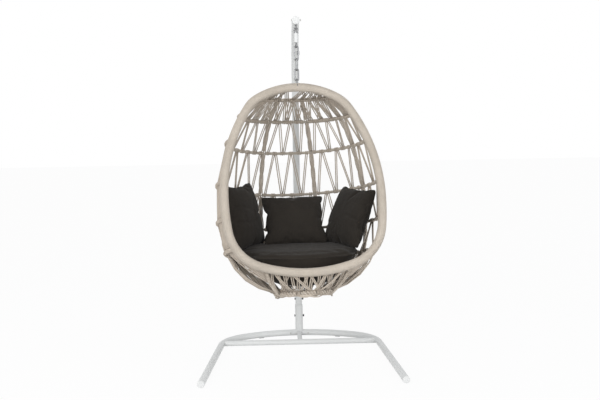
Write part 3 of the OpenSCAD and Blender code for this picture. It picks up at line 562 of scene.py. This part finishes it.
def ropePaint(name, look):
    rough, spread = fibreLook["roughness"], fibreLook["roughSpread"]
    paint = Paint(name, Roughness=rough, Specular_IOR_Level=fibreLook["gloss"])
    u, v, _ = paint.split(paint.node("ShaderNodeUVMap", {"uv_map": "wrap"}))
    twist = (u * (2 * math.pi / look["lay"]) + v * (2 * math.pi * fibreLook["plies"])).sine()
    fibre = paint.noise(paint.place(), fibreLook["fibre"], 3.0, 0.6)
    patch = paint.noise(paint.place(), fibreLook["patch"], 3.0, 0.6)
    fleck = paint.noise(paint.place(), fibreLook["fleck"])
    height = twist * 0.5 + paint.span(fibre, 0.3, 0.7) * 0.25
    # the tone mixes stains from the patch and fleck noises with painted shade, darker in the
    # grooves where the twist runs low
    tone = (
        paint.span(patch, 0.25, 0.75, 0.0, fibreLook["patchTone"])
        + paint.span(fleck, 0.3, 0.7, 0.0, fibreLook["fleckTone"])
        + paint.span(twist, -1.0, 1.0, fibreLook["paintedGrooveShade"], 0.0)
    )
    return paint.finish(
        color=paint.mix(tone.limited(), look["pale"], look["dark"]),
        roughness=paint.span(fibre, 0.2, 0.8, rough - spread, rough + spread),
        normal=paint.bump(height, look["depth"], fibreLook["relief"]),
    )


ropeFinish = ropePaint("twistedRope", ropeLook)
cordFinish = ropePaint("lacingTwine", cordLook)


def makeRope(name, parts, node):
    makePiece(name, parts, basketFrame, ropeFinish, "rope", node)


def makeLacing(name, parts, *nodes):
    makePiece(name, parts, basketFrame, cordFinish, "lacing_cord", *nodes)


# rim, wound with one heavy rope
rimRope = {"radius": 0.0025, "pitch": 0.0051, "perTurn": 14, "sides": 6}


def windRim():
    parts = newParts()
    right, left = [[rimPoint(a, side) for a in range(181)] for side in (1, -1)]
    forward = Vector((0, -cos(basket["rimTilt"]), sin(basket["rimTilt"])))
    reach = basket["rimOut"] - rimRope["radius"]
    addCoil(parts, right[:-1] + left[::-1], forward, reach, rimRope)
    makeRope("rimRopeWinding", parts, "rim_wrap")


windRim()

# hoops and ribs, wound with a thinner rope; gaps are left where they cross
thinRope = {
    "radius": 0.0024, "play": 0.0002, "pitch": 0.0051, "perTurn": 9, "sides": 5,
    "hoopGap": 0.001, "ribGap": 0.002, "baseGap": 0.004,
    "hoopStep": 2, "baseStep": 5, "ribSteps": 6,
}


def windLine(parts, line, side):
    reach = basket["rod"] + thinRope["play"] + thinRope["radius"]
    addCoil(parts, line, side, reach, thinRope)


def windHoop(k, name, node):
    gap = hoopTurn(k, basket["rope"] + thinRope["hoopGap"])
    first, *ribs, last = hoopStops(k)
    stops = [first - gap, *ribs, last + gap]
    parts = newParts()
    for low, high in zip(stops, stops[1:]):
        a, b = low + gap, high - gap
        count = max(2, round((b - a) / thinRope["hoopStep"]))
        line = [hoopPoint(k, a + (b - a) * i / count) for i in range(count + 1)]
        windLine(parts, line, hoopNormal(k))
    makeRope(name, parts, node)


windHoop(0, "crownHoopRope", "crown_hoop_wrap")
for k in range(1, len(hoops)):
    windHoop(k, f"hoopRope{k}", f"hoop_wrap_{k}")


def ribSide(azimuth):
    return Vector((cos(azimuth), -sin(azimuth), 0))


def ribPart(knots, low, high):
    count = max(2, math.ceil((high - low) * thinRope["ribSteps"]))
    return [smoothPoint(knots, low + (high - low) * i / count) for i in range(count + 1)]


def windBackRibs():
    parts = newParts()
    for azimuth in basket["ribAzimuths"]:
        knots = ribKnots(azimuth)
        for i in range(len(knots) - 1):
            gap = (basket["rope"] + thinRope["ribGap"]) / (knots[i + 1] - knots[i]).length
            windLine(parts, ribPart(knots, i + gap, i + 1 - gap), ribSide(azimuth))
    makeRope("backRibRopes", parts, "back_rib_wraps")


def windFrontRibs():
    parts = newParts()
    for side in (-1, 1):
        knots = frontRibKnots(side)
        d, along = frontRibRun(side)
        lift = endLift(d, along, basket["rimOut"], basket["rope"])
        lift -= endLift(d, along, basket["rimTube"], basket["rod"])
        low = lift / (knots[1] - knots[0]).length
        high = 2 - (basket["rope"] + thinRope["ribGap"]) / (knots[2] - knots[1]).length
        windLine(parts, ribPart(knots, low, high), ribSide(side * basket["frontRibAzimuth"]))
    makeRope("frontRibRopes", parts, "front_rib_wraps")


# loose cords run down each back rib, round it in long turns
looseCord = {
    "radius": 0.0028, "reach": 0.0112, "pitch": 0.34, "count": 4,
    "perTurn": 12, "sides": 6, "from": 0.06, "to": 5.9, "phase": 0.4,
}


def twistRibs():
    parts = newParts()
    for azimuth in basket["ribAzimuths"]:
        line = ribPart(ribKnots(azimuth), looseCord["from"], looseCord["to"])
        for j in range(looseCord["count"]):
            phase = looseCord["phase"] + j * 2 * math.pi / looseCord["count"]
            addCoil(parts, line, ribSide(azimuth), looseCord["reach"], looseCord, phase)
    makeLacing("looseRibCords", parts)


# loose coils over the base hoop's winding
baseCoil = {
    "radius": 0.0028, "lift": 0.0026, "pitch": 0.052, "perTurn": 14, "sides": 6,
    "phases": (0.0, 2.1, 4.2),
}


def windBaseHoop():
    ribs = basket["ribAzimuths"]
    bar, front = basket["barAzimuth"], basket["frontRibAzimuth"]
    stops = [*ribs, front, 180 - bar, 180 + bar, 360 - front, 360 + ribs[0]]
    gap = math.degrees((basket["rope"] + thinRope["baseGap"]) / basket["baseRadius"])
    reach = basket["rope"] + baseCoil["lift"]
    up = Vector((0, 0, 1))
    parts = newParts()
    for low, high in zip(stops, stops[1:]):
        a, b = low + gap, high - gap
        count = max(3, round((b - a) / thinRope["baseStep"]))
        line = [basePoint(a + (b - a) * i / count) for i in range(count + 1)]
        windLine(parts, line, up)
        for phase in baseCoil["phases"]:
            addCoil(parts, line, up, reach, baseCoil, phase)
    makeRope("baseHoopRope", parts, "base_hoop_wrap")


windBackRibs()
twistRibs()
windFrontRibs()
windBaseHoop()
print("rim, hoops and ribs wound")

# lacing: doubled twine between the hoops, with a few turns round each hoop
twine = {
    "radius": 0.0031, "sides": 6, "gap": 0.0105, "slack": 0.0012, "tuck": 0.9,
    "swellDrop": 0.05, "baseLift": 0.0025, "stops": (0, 0.25, 0.5, 0.75, 1),
}
twineReach = twine["gap"] / 2 + twine["radius"]
knotTurns = {
    "radius": twine["radius"] * 0.75, "hug": twine["radius"] * 0.2,
    "pitch": 2 * twineReach / 2.2, "perTurn": 10, "sides": 5,
}
random.seed(11)


# a seat is where a cord is tied: its middle, the bar's way and the bar's radius
def hoopSeat(k, a):
    return hoopPoint(k, a), hoopAlong(k, a), basket["rope"]


def baseSeat(a):
    return basePoint(a), Vector((cos(a), -sin(a), 0)), basket["rope"] + twine["baseLift"]


def rimSeat(heading, side):
    return rimPoint(heading, side), rimAlong(heading, side), basket["rimOut"]


def knotAngle(stops, i, j, radius, shift):
    # the angle of a panel's cord j, moved along the bar by a length
    margin = math.degrees(basket["panelMargin"] / radius)
    a, b = stops[i] + margin, stops[i + 1] - margin
    return a + (b - a) * j / basket["cordsPerPanel"] + math.degrees(shift / radius)


def archAt(t):
    return 4 * t * (1 - t)  # 0 at both ends, 1 in the middle


def spots(count):
    # even places from -1 to 1
    return [(2 * i + 1) / count - 1 for i in range(count)]


def sideOf(f):
    return math.copysign(1, f)


def alternate(i):
    return 1 if i % 2 else -1


def addTurns(parts, seat, towards):
    centre, along, clear = seat
    if clear == basket["rimOut"]:
        return  # the twine is tucked under the rim's rope
    line = [centre - along * twineReach, centre, centre + along * twineReach]
    addCoil(parts, line, towards, clear + knotTurns["hug"], knotTurns)


def addCord(parts, p, q, bow=0.0):
    d = (q[0] - p[0]).normalized()
    middle = (p[0] + q[0]) / 2
    inner = Vector((0, basket["axisBack"], middle.z + twine["swellDrop"]))
    swell = crossOf(d, middle - inner) * bow
    flip = 1 if p[1].dot(q[1]) > 0 else -1
    for part in (-1, 1):
        half = part * twine["gap"] / 2
        a = p[0] + p[1] * half + d * p[2] * twine["tuck"]
        b = q[0] + q[1] * half * flip - d * q[2] * twine["tuck"]
        sway = crossOf(d, Vector([random.uniform(-1, 1) for _ in range(3)]))
        give = sway * twine["slack"] + swell
        line = [a.lerp(b, t) + give * archAt(t) for t in twine["stops"]]
        addTube(parts, line, twine["radius"], twine["sides"])
    addTurns(parts, p, d)
    addTurns(parts, q, -d)


def hoopPanels(k, stops):
    radius = hoops[k]["radius"]
    return lambda i, j, shift: hoopSeat(k, knotAngle(stops, i, j, radius, shift))


def basePanels(stops):
    radius = basket["baseRadius"]
    return lambda i, j, shift: baseSeat(knotAngle(stops, i, j, radius, shift))


def lacePanels(parts, upper, lower, bow=0.0):
    # cords zigzag from bar to bar, panel by panel
    for i in range(len(basket["ribAzimuths"]) + 1):
        for j in range(basket["cordsPerPanel"]):
            odd = j % 2
            shift = -basket["cordStep"] if odd else basket["cordStep"]
            addCord(parts, upper(i, j + 1 - odd, -shift), lower(i, j + odd, shift), bow)


# plain runs of cord from hoop to hoop, close beside the rim
edgeRuns = {"count": 6, "first": 0.034, "step": 0.019, "slant": 0.012}


def laceEdges(parts, k):
    for side in (-1, 1):
        for step in range(edgeRuns["count"]):
            reach = edgeRuns["first"] + edgeRuns["step"] * step
            a = side * (hoops[k]["end"] - hoopTurn(k, reach))
            lower = reach + random.uniform(-1, 1) * edgeRuns["slant"]
            b = side * (hoops[k + 1]["end"] - hoopTurn(k + 1, lower))
            addCord(parts, hoopSeat(k, a), hoopSeat(k + 1, b))


def laceHoops(k):
    parts = newParts()
    lacePanels(parts, hoopPanels(k, hoopStops(k)), hoopPanels(k + 1, hoopStops(k + 1)))
    laceEdges(parts, k)
    makeLacing(f"backLacing{k + 1}", parts, f"back_lacing_{k + 1}")


for k in range(lastHoop):
    laceHoops(k)


# crown: straight and crossed cords from the rim, and drops to the next hoop
crownNet = {
    "straight": {"count": 12, "first": 7, "spread": 16, "reach": 0.62},
    "crossed": {
        "count": 22, "first": 4, "spread": 20, "wander": 0.03,
        "slant": 0.15, "slants": (0.5, 1.6), "reach": 0.95,
    },
    "drops": {"count": 32, "slants": (0.01, 0.07), "reach": 0.96},
}


def laceCrown():
    parts = newParts()
    ends = [hoopStops(k)[-1] for k in (0, 1)]
    net = crownNet["straight"]
    for f in spots(net["count"]):
        rim = rimSeat(net["first"] + net["spread"] * abs(f), sideOf(f))
        addCord(parts, rim, hoopSeat(0, f * ends[0] * net["reach"]))
    net = crownNet["crossed"]
    for i, f in enumerate(spots(net["count"])):
        shift = net["slant"] * alternate(i) * random.uniform(*net["slants"])
        place = abs(f + random.uniform(-net["wander"], net["wander"]))
        rim = rimSeat(net["first"] + net["spread"] * place, sideOf(f))
        reach = max(-net["reach"], min(net["reach"], f + shift))
        addCord(parts, rim, hoopSeat(0, reach * ends[0]))
    net = crownNet["drops"]
    for i, f in enumerate(spots(net["count"])):
        shift = random.uniform(*net["slants"]) * alternate(i)
        upper = hoopSeat(0, (f - shift) * ends[0] * net["reach"])
        addCord(parts, upper, hoopSeat(1, (f + shift) * ends[1] * net["reach"]))
    makeLacing("crownLacing", parts, "crown_lacing")


# bowl: cords from the last hoop to the base hoop, swelling out as they hang
bowlNet = {"swell": 0.042, "back": 9, "slant": 0.12, "swells": (0.7, 1.1)}
slings = {
    "count": 22, "starts": (0, 0.6), "turns": (26, 52), "stops": (0, 0.2, 0.4, 0.6, 0.8, 1),
    "sags": (0.008, 0.02), "out": 0.005, "lift": 0.003, "drop": 0.001,
}


def sling(parts, start, reach):
    # a doubled cord hung under the base hoop, bowed out to follow its round
    a, b = baseSeat(start)[0], baseSeat(reach)[0]
    chord = (a - b).length
    bulge = chord * chord / 8 / basket["baseRadius"] + slings["out"]
    for part in (-1, 1):
        line = [a.lerp(b, t) for t in slings["stops"]]
        middle = line[len(line) // 2]
        out = Vector((middle.x, middle.y - basket["axisBack"], 0)).normalized()
        sag = random.uniform(*slings["sags"])
        for t, p in zip(slings["stops"], line):
            p += out * bulge * archAt(t)
            p.z += part * slings["lift"] - sag * archAt(t) - slings["drop"]
        addTube(parts, line, twine["radius"], twine["sides"])


def laceBowl():
    stops, front = hoopStops(lastHoop), basket["frontRibAzimuth"]
    side = stops[-1] - hoopTurn(lastHoop, basket["sideReach"])
    upper = hoopPanels(lastHoop, [-side, *stops[1:-1], side])
    lower = basePanels([-front, *basket["ribAzimuths"], front])
    parts = newParts()
    lacePanels(parts, upper, lower, bowlNet["swell"])
    for f in spots(bowlNet["back"]):
        for slant in (-bowlNet["slant"], bowlNet["slant"]):
            foot = baseSeat((f + slant) * front)
            swell = bowlNet["swell"] * random.uniform(*bowlNet["swells"])
            addCord(parts, hoopSeat(lastHoop, f * side), foot, swell)
    for i in range(slings["count"]):
        start = (i + random.uniform(*slings["starts"])) * 360 / slings["count"]
        way = random.choice((-1, 1))
        sling(parts, start, start + way * random.uniform(*slings["turns"]))
    makeLacing("bowlLacing", parts, "bowl_lacing")


# front: straight and crossed cords from the rim to the base hoop
frontNet = {
    "straight": {"count": 10, "rim": 0.8, "foot": 0.82, "step": 0.5},
    "crossed": {"count": 5, "rim": 1.05, "slants": (0.2, 0.6), "bow": 0.014, "bows": (0.5, 1.3)},
}


def laceFront():
    parts = newParts()
    rimSpan, baseSpan = 180 - basket["frontRibHeading"], 180 - basket["frontRibAzimuth"]
    net = frontNet["straight"]
    for i, f in enumerate(spots(net["count"])):
        rim = rimSeat(180 - net["rim"] * abs(f) * rimSpan, sideOf(f))
        foot = f - alternate(i) * net["step"] / net["count"]
        addCord(parts, rim, baseSeat(180 - net["foot"] * foot * baseSpan))
    net = frontNet["crossed"]
    for f in spots(net["count"]):
        for way in (-1, 1):
            foot = max(-1, min(1, f + way * random.uniform(*net["slants"])))
            rim = rimSeat(180 - net["rim"] * abs(f) * rimSpan, sideOf(f))
            bow = net["bow"] * random.uniform(*net["bows"])
            addCord(parts, rim, baseSeat(180 - foot * baseSpan), bow)
    makeLacing("frontLacing", parts, "front_lacing")


# side bundles: cords from a front rib's top to the last hoop's end
sideNet = {
    "count": 5, "first": 0.018, "step": 0.02, "hoopFirst": 0.036, "hoopStep": 0.022,
    "bow": 0.0035, "look": 0.1,
}


def laceSide(side, name, node):
    knots = frontRibKnots(side)
    parts = newParts()
    for i in range(sideNet["count"]):
        t = (sideNet["first"] + sideNet["step"] * i) / (knots[1] - knots[0]).length
        p = smoothPoint(knots, t)
        along = (smoothPoint(knots, t + sideNet["look"]) - p).normalized()
        inset = hoopTurn(lastHoop, sideNet["hoopFirst"] + sideNet["hoopStep"] * i)
        end = hoopSeat(lastHoop, side * (hoops[lastHoop]["end"] - inset))
        addCord(parts, (p, along, basket["rope"]), end, sideNet["bow"] * i)
    makeLacing(name, parts, node)


laceCrown()
laceBowl()
laceFront()
laceSide(-1, "sideCordsLeft", "side_cords_left")
laceSide(1, "sideCordsRight", "side_cords_right")
print("lacing made")

# cloth: threads along the weave attribute, with slubs, stains and soft wrinkles
clothShader = {
    "Roughness": 0.9, "Specular_IOR_Level": 0.15, "Sheen_Weight": 0.06, "Sheen_Roughness": 0.5,
}
clothLook = {
    "slub": 60.0, "patch": 7.0, "wrinkle": 16.0, "dark": 0.72, "pale": 1.35,
    "threadTone": 0.45, "slubTone": 0.25, "patchTone": 0.3, "rough": (0.82, 0.96),
    "wrinkleDepth": 0.006, "wrinkleRelief": 0.5, "threadDepth": 0.0003, "threadRelief": 0.7,
}


def clothPaint(name, base, thread):
    # base is the cloth's colour, thread one turn of the weave in metres
    paint = Paint(name, **clothShader)
    flat = paint.node("ShaderNodeAttribute", {"attribute_name": "weave"}, output="Vector")
    x, y, _ = paint.split(flat)
    turns = 2 * math.pi / thread
    threads = (x * turns).sine() * (y * turns).sine()
    slub = paint.noise(flat, clothLook["slub"], stretch=(1.0, 8.0, 1.0))
    patch = paint.noise(paint.place(), clothLook["patch"], 3.0, 0.6)
    wrinkle = paint.noise(flat, clothLook["wrinkle"], 3.0, 0.55)
    tone = (
        paint.span(threads, -1.0, 1.0, 0.0, clothLook["threadTone"])
        + paint.span(slub, 0.3, 0.7, 0.0, clothLook["slubTone"])
        + paint.span(patch, 0.3, 0.7, 0.0, clothLook["patchTone"])
    )
    dark, pale = [tuple(c * clothLook[key] for c in base) for key in ("dark", "pale")]
    folds = paint.span(wrinkle, 0.2, 0.8)
    soft = paint.bump(folds, clothLook["wrinkleDepth"], clothLook["wrinkleRelief"])
    weave = paint.span(threads, -1.0, 1.0) + slub * 0.4
    return paint.finish(
        color=paint.mix(tone.limited(), dark, pale),
        roughness=paint.span(slub, 0.2, 0.8, *clothLook["rough"]),
        normal=paint.bump(weave, clothLook["threadDepth"], clothLook["threadRelief"], under=soft),
    )


seatFinish = clothPaint("seatCloth", (0.0215, 0.0176, 0.0138), 0.0022)
pillowFinish = clothPaint("pillowCloth", (0.023, 0.0195, 0.016), 0.0020)

# cushions: sewn flat from two sheets, filled by a cloth simulation
sheetCut = {"thickness": 0.006, "piping": 0.003, "pipingSides": 8, "seamShift": 3.7}
clothFill = {
    "quality": 6, "mass": 0.25, "tension_stiffness": 18, "compression_stiffness": 8,
    "shear_stiffness": 6, "bending_stiffness": 0.6, "air_damping": 3,
    "use_pressure": True, "uniform_pressure_force": 4.0,
}
clothFrames = 14


def markWeave(mesh):
    weave = mesh.attributes.new("weave", "FLOAT_VECTOR", "POINT")
    weave.data.foreach_set("vector", [c for v in mesh.vertices for c in v.co])


def applyModifier(piece, modifier):
    bpy.context.view_layer.objects.active = piece
    bpy.ops.object.modifier_apply(modifier=modifier.name)


def flatSheets(name, grid, outline):
    bpy.ops.object.select_all(action="DESELECT")
    bpy.ops.mesh.primitive_grid_add(x_subdivisions=grid, y_subdivisions=grid, size=2)
    piece = bpy.context.object
    piece.name = name
    for vertex in piece.data.vertices:
        vertex.co = outline(vertex.co.x, vertex.co.y)
    markWeave(piece.data)
    solid = piece.modifiers.new("cloth thickness", "SOLIDIFY")
    solid.thickness = sheetCut["thickness"]
    solid.offset = 0.0
    applyModifier(piece, solid)
    return piece


def edgeRing(grid):
    # the outer points of one sheet, in order round it
    wide = grid + 1
    ring = list(range(wide))
    ring += [i * wide + grid for i in range(1, wide)]
    ring += [grid * wide + i for i in range(grid - 1, -1, -1)]
    return ring + [i * wide for i in range(grid - 1, 0, -1)]


def inflate(piece, cap):
    # the filling's pressure pushes each sheet out, by no more than the cap
    before = [v.co.copy() for v in piece.data.vertices]
    cloth = piece.modifiers.new("filling", "CLOTH")
    for key, value in clothFill.items():
        setattr(cloth.settings, key, value)
    cloth.settings.effector_weights.gravity = 0
    cloth.point_cache.frame_start = 1
    cloth.point_cache.frame_end = clothFrames
    for step in range(1, clothFrames + 1):
        scene.frame_set(step)
    applyModifier(piece, cloth)
    scene.frame_set(1)
    for vertex, start in zip(piece.data.vertices, before):
        move = vertex.co - start
        if move.length > cap:
            vertex.co = start + move * (cap / move.length)


def fillSheets(piece, rise, cut, seed):
    # the filling parts the two sheets; small gathers run in from the seam
    for vertex in piece.data.vertices:
        x, y, z = vertex.co
        amount, near = rise(x, y, z)
        shift = seed + math.copysign(sheetCut["seamShift"], z)
        ripple = noise.noise(Vector((x * cut["rate"], y * cut["rate"], shift)))
        amount += ripple * cut["gather"] * near
        vertex.co.z += math.copysign(max(0.0, amount), z)


def fitBox(piece, low, high):
    for axis in range(3):
        values = [v.co[axis] for v in piece.data.vertices]
        first, last = min(values), max(values)
        scale = (high[axis] - low[axis]) / (last - first)
        for vertex, value in zip(piece.data.vertices, values):
            vertex.co[axis] = low[axis] + (value - first) * scale


def sewPiping(name, piece, grid, place, material, slotName):
    # a thin cord in the seam, half way between the two sheets' edges
    points, count = piece.data.vertices, (grid + 1) ** 2
    line = [place @ ((points[i].co + points[i + count].co) / 2) for i in edgeRing(grid)]
    parts = newParts()
    addTube(parts, line, sheetCut["piping"], sheetCut["pipingSides"], closed=True)
    made = makePiece(name, parts, Matrix.Identity(4), material, slotName)
    markWeave(made.data)


def closeCushion(piece, place, material, slotName, node):
    piece.data.transform(place)
    finer = piece.modifiers.new("finer", "SUBSURF")
    finer.levels = finer.render_levels = 1
    applyModifier(piece, finer)
    shadeSmooth(piece.data)
    piece.data.materials.append(material)
    settle(piece, slotName, node)


seatCut = {
    "width": 0.654, "depth": 0.578, "grid": 56, "round": 0.4, "taper": 0.03, "fill": 0.75,
    "rise": 0.05, "side": 0.036, "sag": 0.105, "plump": 0.92, "rate": 18.0, "gather": 0.008,
    "gatherMost": 3, "gatherFade": 0.5, "cap": 0.02, "bellyAt": (0.0, -0.5), "bellyFlat": 0.4,
    "seam": 0.607, "front": -0.240, "back": 0.340, "seed": 5.0,
}


def seatOutline(u, v):
    x = u * math.sqrt(1 - seatCut["round"] * v * v)
    y = v * math.sqrt(1 - seatCut["round"] * u * u)
    narrow = 1 - seatCut["taper"] * (v + 1)
    return Vector((x * seatCut["width"] / 2 * narrow, y * seatCut["depth"] / 2, 0))


def seatRise(x, y, z):
    p = Vector((x / (seatCut["width"] / 2), y / (seatCut["depth"] / 2)))
    edge = min(1.0, p.length)
    near = seatCut["gatherMost"] * edge**3 * (1 - edge) ** seatCut["gatherFade"]
    wall = max(0.0, (edge - seatCut["plump"]) / (1 - seatCut["plump"]))
    wall = math.sqrt(1 - wall**2)
    if z > 0:
        return seatCut["rise"] * wall, near
    # underneath, the filling sags to a belly in front of the middle
    belly = Vector(seatCut["bellyAt"])
    d = p - belly
    d1, d2, d3 = max(1e-6, d.dot(d)), belly.dot(d), belly.dot(belly) - 1
    reach = (-d2 + math.sqrt(max(0.0, d2 * d2 - d1 * d3))) / d1
    sag = min(1.0, (1 - min(1.0, 1 / reach)) / (1 - seatCut["bellyFlat"]))
    return seatCut["side"] * wall + seatCut["sag"] * sag, near


def makeSeat():
    piece = flatSheets("seatCushion", seatCut["grid"], seatOutline)
    fillSheets(piece, seatRise, seatCut, seatCut["seed"])
    inflate(piece, seatCut["cap"])
    half, seam = seatCut["width"] / 2, seatCut["seam"]
    fitBox(piece, (-half, seatCut["front"], -1), (half, seatCut["back"], 1))
    low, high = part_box("seat_cushion")
    for vertex in piece.data.vertices:
        z = vertex.co.z
        vertex.co.z = seam + z * (high.z - seam if z > 0 else seam - low.z)
    sewPiping("seatPiping", piece, seatCut["grid"], hangFrame, seatFinish, "seat_fabric")
    closeCushion(piece, hangFrame, seatFinish, "seat_fabric", "seat_cushion")


pillowCut = {
    "width": 0.36, "thickness": 0.118, "grid": 48, "pinch": 0.055, "footPinch": 0.1,
    "corner": 0.05, "wave": 0.0045, "waveRate": 21.0, "rise": 0.052, "crown": 2.6,
    "rate": 24.0, "gather": 0.009, "gatherMost": 4, "gatherFade": 0.6, "cap": 0.03,
    "creaseDepth": 0.013, "creaseWidth": 0.008, "creaseFade": 0.7, "creaseEdge": 0.02,
    "sink": 0.007, "fill": 0.7,
}
# creases run from their deep end to their shallow end, in metres from the pillow's middle
pillows = {
    "pillowLeft": {
        "node": "pillow_left", "azimuth": -60, "out": 0.336, "height": 0.8221, "lean": 14,
        "tall": 1.0, "toe": 0.0, "sidePinch": 1,
        "creases": (
            (-0.15, 0.055, 0.02, 0.02), (-0.15, -0.03, 0.03, -0.05), (0.15, 0.0, 0.05, -0.02),
        ),
    },
    "pillowCentre": {
        "node": "pillow_centre", "azimuth": 2.5, "out": 0.268, "height": 0.7962, "lean": 38,
        "tall": 0.74, "toe": 0.0, "sidePinch": 1, "creases": (),
    },
    "pillowRight": {
        "node": "pillow_right", "azimuth": 73, "out": 0.323, "height": 0.8142, "lean": 24,
        "tall": 0.88, "toe": 0.026, "sidePinch": 0.1,
        "creases": (
            (0.15, -0.02, 0.02, 0.0), (-0.15, -0.07, -0.02, -0.05), (0.06, 0.16, 0.02, 0.08),
        ),
    },
}


def creaseAt(creases, x, y):
    # the deepest fold near this spot of the pillow's face
    deepest = 0.0
    for ax, ay, bx, by in creases:
        a, b, p = Vector((ax, ay)), Vector((bx, by)), Vector((x, y))
        t = max(0.0, min(1.0, (p - a).dot(b - a) / (b - a).length_squared))
        gap = (p - a.lerp(b, t)).length / pillowCut["creaseWidth"]
        deepest = max(deepest, math.exp(-gap * gap) * (1 - pillowCut["creaseFade"] * t))
    return deepest * pillowCut["creaseDepth"]


def makePillow(name, own):
    half, azimuth, toe = pillowCut["width"] / 2, own["azimuth"], own["toe"]

    def outline(u, v):
        # sides pull in between the corners, and the edge waves a little
        edge = max(abs(u), abs(v)) ** 6
        spot = Vector((u * half, v * half, azimuth)) * pillowCut["waveRate"]
        wave = noise.noise(spot) * pillowCut["wave"] * edge
        side = pillowCut["pinch"] * (own["sidePinch"] if u > 0 else 1)
        foot = pillowCut["pinch"] * (pillowCut["footPinch"] if v < 0 else 1)
        full = 1 - pillowCut["corner"] * (u * v) ** 8 + wave / half
        x = half * u * (1 - side * (1 - v * v)) * full + max(0.0, u) * (1 - v) / 2 * toe
        return Vector((x, half * v * (1 - foot * (1 - u * u)) * full, 0))

    def rise(x, y, z):
        u, v = min(1, abs(x / half)), min(1, abs(y / half))
        edge, crown = max(u, v), pillowCut["crown"]
        full = pillowCut["rise"] * ((1 - u**crown) * (1 - v**crown)) ** 0.5
        near = pillowCut["gatherMost"] * edge**3 * (1 - edge) ** pillowCut["gatherFade"]
        if z < 0:
            return full, near
        fold = creaseAt(own["creases"], x, y) * min(1.0, full / pillowCut["creaseEdge"])
        return full - fold, near

    piece = flatSheets(name, pillowCut["grid"], outline)
    fillSheets(piece, rise, pillowCut, azimuth)
    inflate(piece, pillowCut["cap"])
    thick = pillowCut["thickness"] / 2
    top, foot = half * own["tall"], -half - pillowCut["sink"]
    fitBox(piece, (-half, foot, -thick), (half + toe, top, thick))
    stand = Matrix.Translation((0, own["out"], own["height"])) @ turned(90 - own["lean"], "X")
    place = hangFrame @ turned(-azimuth, "Z") @ stand
    slotName, grid = "pillow_fabric", pillowCut["grid"]
    sewPiping(name + "Piping", piece, grid, place, pillowFinish, slotName)
    closeCushion(piece, place, pillowFinish, slotName, own["node"])


makeSeat()
for name, own in pillows.items():
    makePillow(name, own)
print("cushions filled")


# finishes of the metal and plastic
coatLook = {
    "gloss": 0.45, "cloud": 4.0, "scuff": 60.0, "scuffEdge": (0.66, 0.74), "shade": 0.94,
    "worn": 0.75, "wornTone": 0.35, "wornRough": 0.12, "relief": 0.35,
}
metalLook = {
    "brush": 300.0, "dull": 40.0, "shade": 0.62, "spangleTone": 0.5, "dullTone": 0.4,
    "brushDepth": 0.0002, "relief": 0.4,
}


def coatPaint(name, base, roughness, grain, depth):
    paint = Paint(name, Specular_IOR_Level=coatLook["gloss"])
    place = paint.place()
    peel = paint.noise(place, grain)
    cloud = paint.noise(place, coatLook["cloud"], 3.0, 0.6)
    scuff = paint.noise(place, coatLook["scuff"], 4.0, 0.7, stretch=(1.0, 1.0, 4.0))
    worn = paint.span(scuff, *coatLook["scuffEdge"])
    shade, bare = [tuple(c * coatLook[key] for c in base) for key in ("shade", "worn")]
    color = paint.mix(paint.span(cloud, 0.3, 0.7, 0.0, 0.5), base, shade)
    rough = paint.span(cloud, 0.3, 0.7, roughness - 0.05, roughness + 0.06)
    return paint.finish(
        color=paint.mix(worn * coatLook["wornTone"], color, bare),
        roughness=rough + worn * coatLook["wornRough"],
        normal=paint.bump(peel, depth, coatLook["relief"]),
    )


def metalPaint(name, base, roughness, metallic, grain):
    paint = Paint(name)
    place = paint.place()
    spangle = paint.cells(place, grain)
    brush = paint.noise(place, metalLook["brush"], stretch=(1.0, 1.0, 0.1))
    dull = paint.noise(place, metalLook["dull"], 3.0, 0.6)
    tone = (
        paint.span(spangle, 0.0, 0.6, 0.0, metalLook["spangleTone"])
        + paint.span(dull, 0.3, 0.7, 0.0, metalLook["dullTone"])
    )
    shade = tuple(c * metalLook["shade"] for c in base)
    return paint.finish(
        color=paint.mix(tone.limited(), base, shade),
        roughness=paint.span(dull, 0.3, 0.7, roughness - 0.08, roughness + 0.14),
        normal=paint.bump(brush, metalLook["brushDepth"], metalLook["relief"]),
        metallic=paint.span(dull, 0.2, 0.8, metallic, metallic - 0.12),
    )


# a finish for each slot: a coat's colour, roughness, grain and depth, or a metal's colour,
# roughness, metallic and spangle
finishes = {
    "white_steel": coatPaint("whiteCoat", (0.68, 0.69, 0.685), 0.38, 700.0, 0.0002),
    "white_plastic": coatPaint("plugPlastic", (0.64, 0.645, 0.64), 0.5, 1100.0, 0.0001),
    "zinc_steel": metalPaint("zincBolt", (0.72, 0.72, 0.70), 0.34, 0.9, 260.0),
    "black_steel": coatPaint("blackBolt", (0.018, 0.018, 0.019), 0.4, 900.0, 0.0001),
    "pad_rubber": coatPaint("padRubber", (0.42, 0.42, 0.415), 0.8, 500.0, 0.0002),
    "galvanised_steel": metalPaint("galvanised", (0.33, 0.335, 0.34), 0.32, 0.95, 180.0),
    "brass_washer": metalPaint("brassWasher", (0.74, 0.56, 0.25), 0.35, 0.95, 220.0),
    "frame_steel": coatPaint("frameCoat", (0.40, 0.36, 0.31), 0.5, 600.0, 0.0002),
    "rope": ropeFinish,
    "lacing_cord": cordFinish,
    "seat_fabric": seatFinish,
    "pillow_fabric": pillowFinish,
}
solidEdges = {"weld": 0.00001, "sharp": 32}


def dressNodes():
    slots = {part["node"]: part["material_slot"] for part in frame["record"]["subparts"]}
    for name, piece in nodes.items():
        mesh = piece.data
        mesh.materials.clear()
        mesh.materials.append(finishes[slots[name]])
        mesh.polygons.foreach_set("material_index", [0] * len(mesh.polygons))
        shadeSmooth(mesh)
        weld = piece.modifiers.new("joined", "WELD")
        weld.merge_threshold = solidEdges["weld"]
        split = piece.modifiers.new("edges", "EDGE_SPLIT")
        split.split_angle = math.radians(solidEdges["sharp"])


dressNodes()
print("metal and plastic finished")
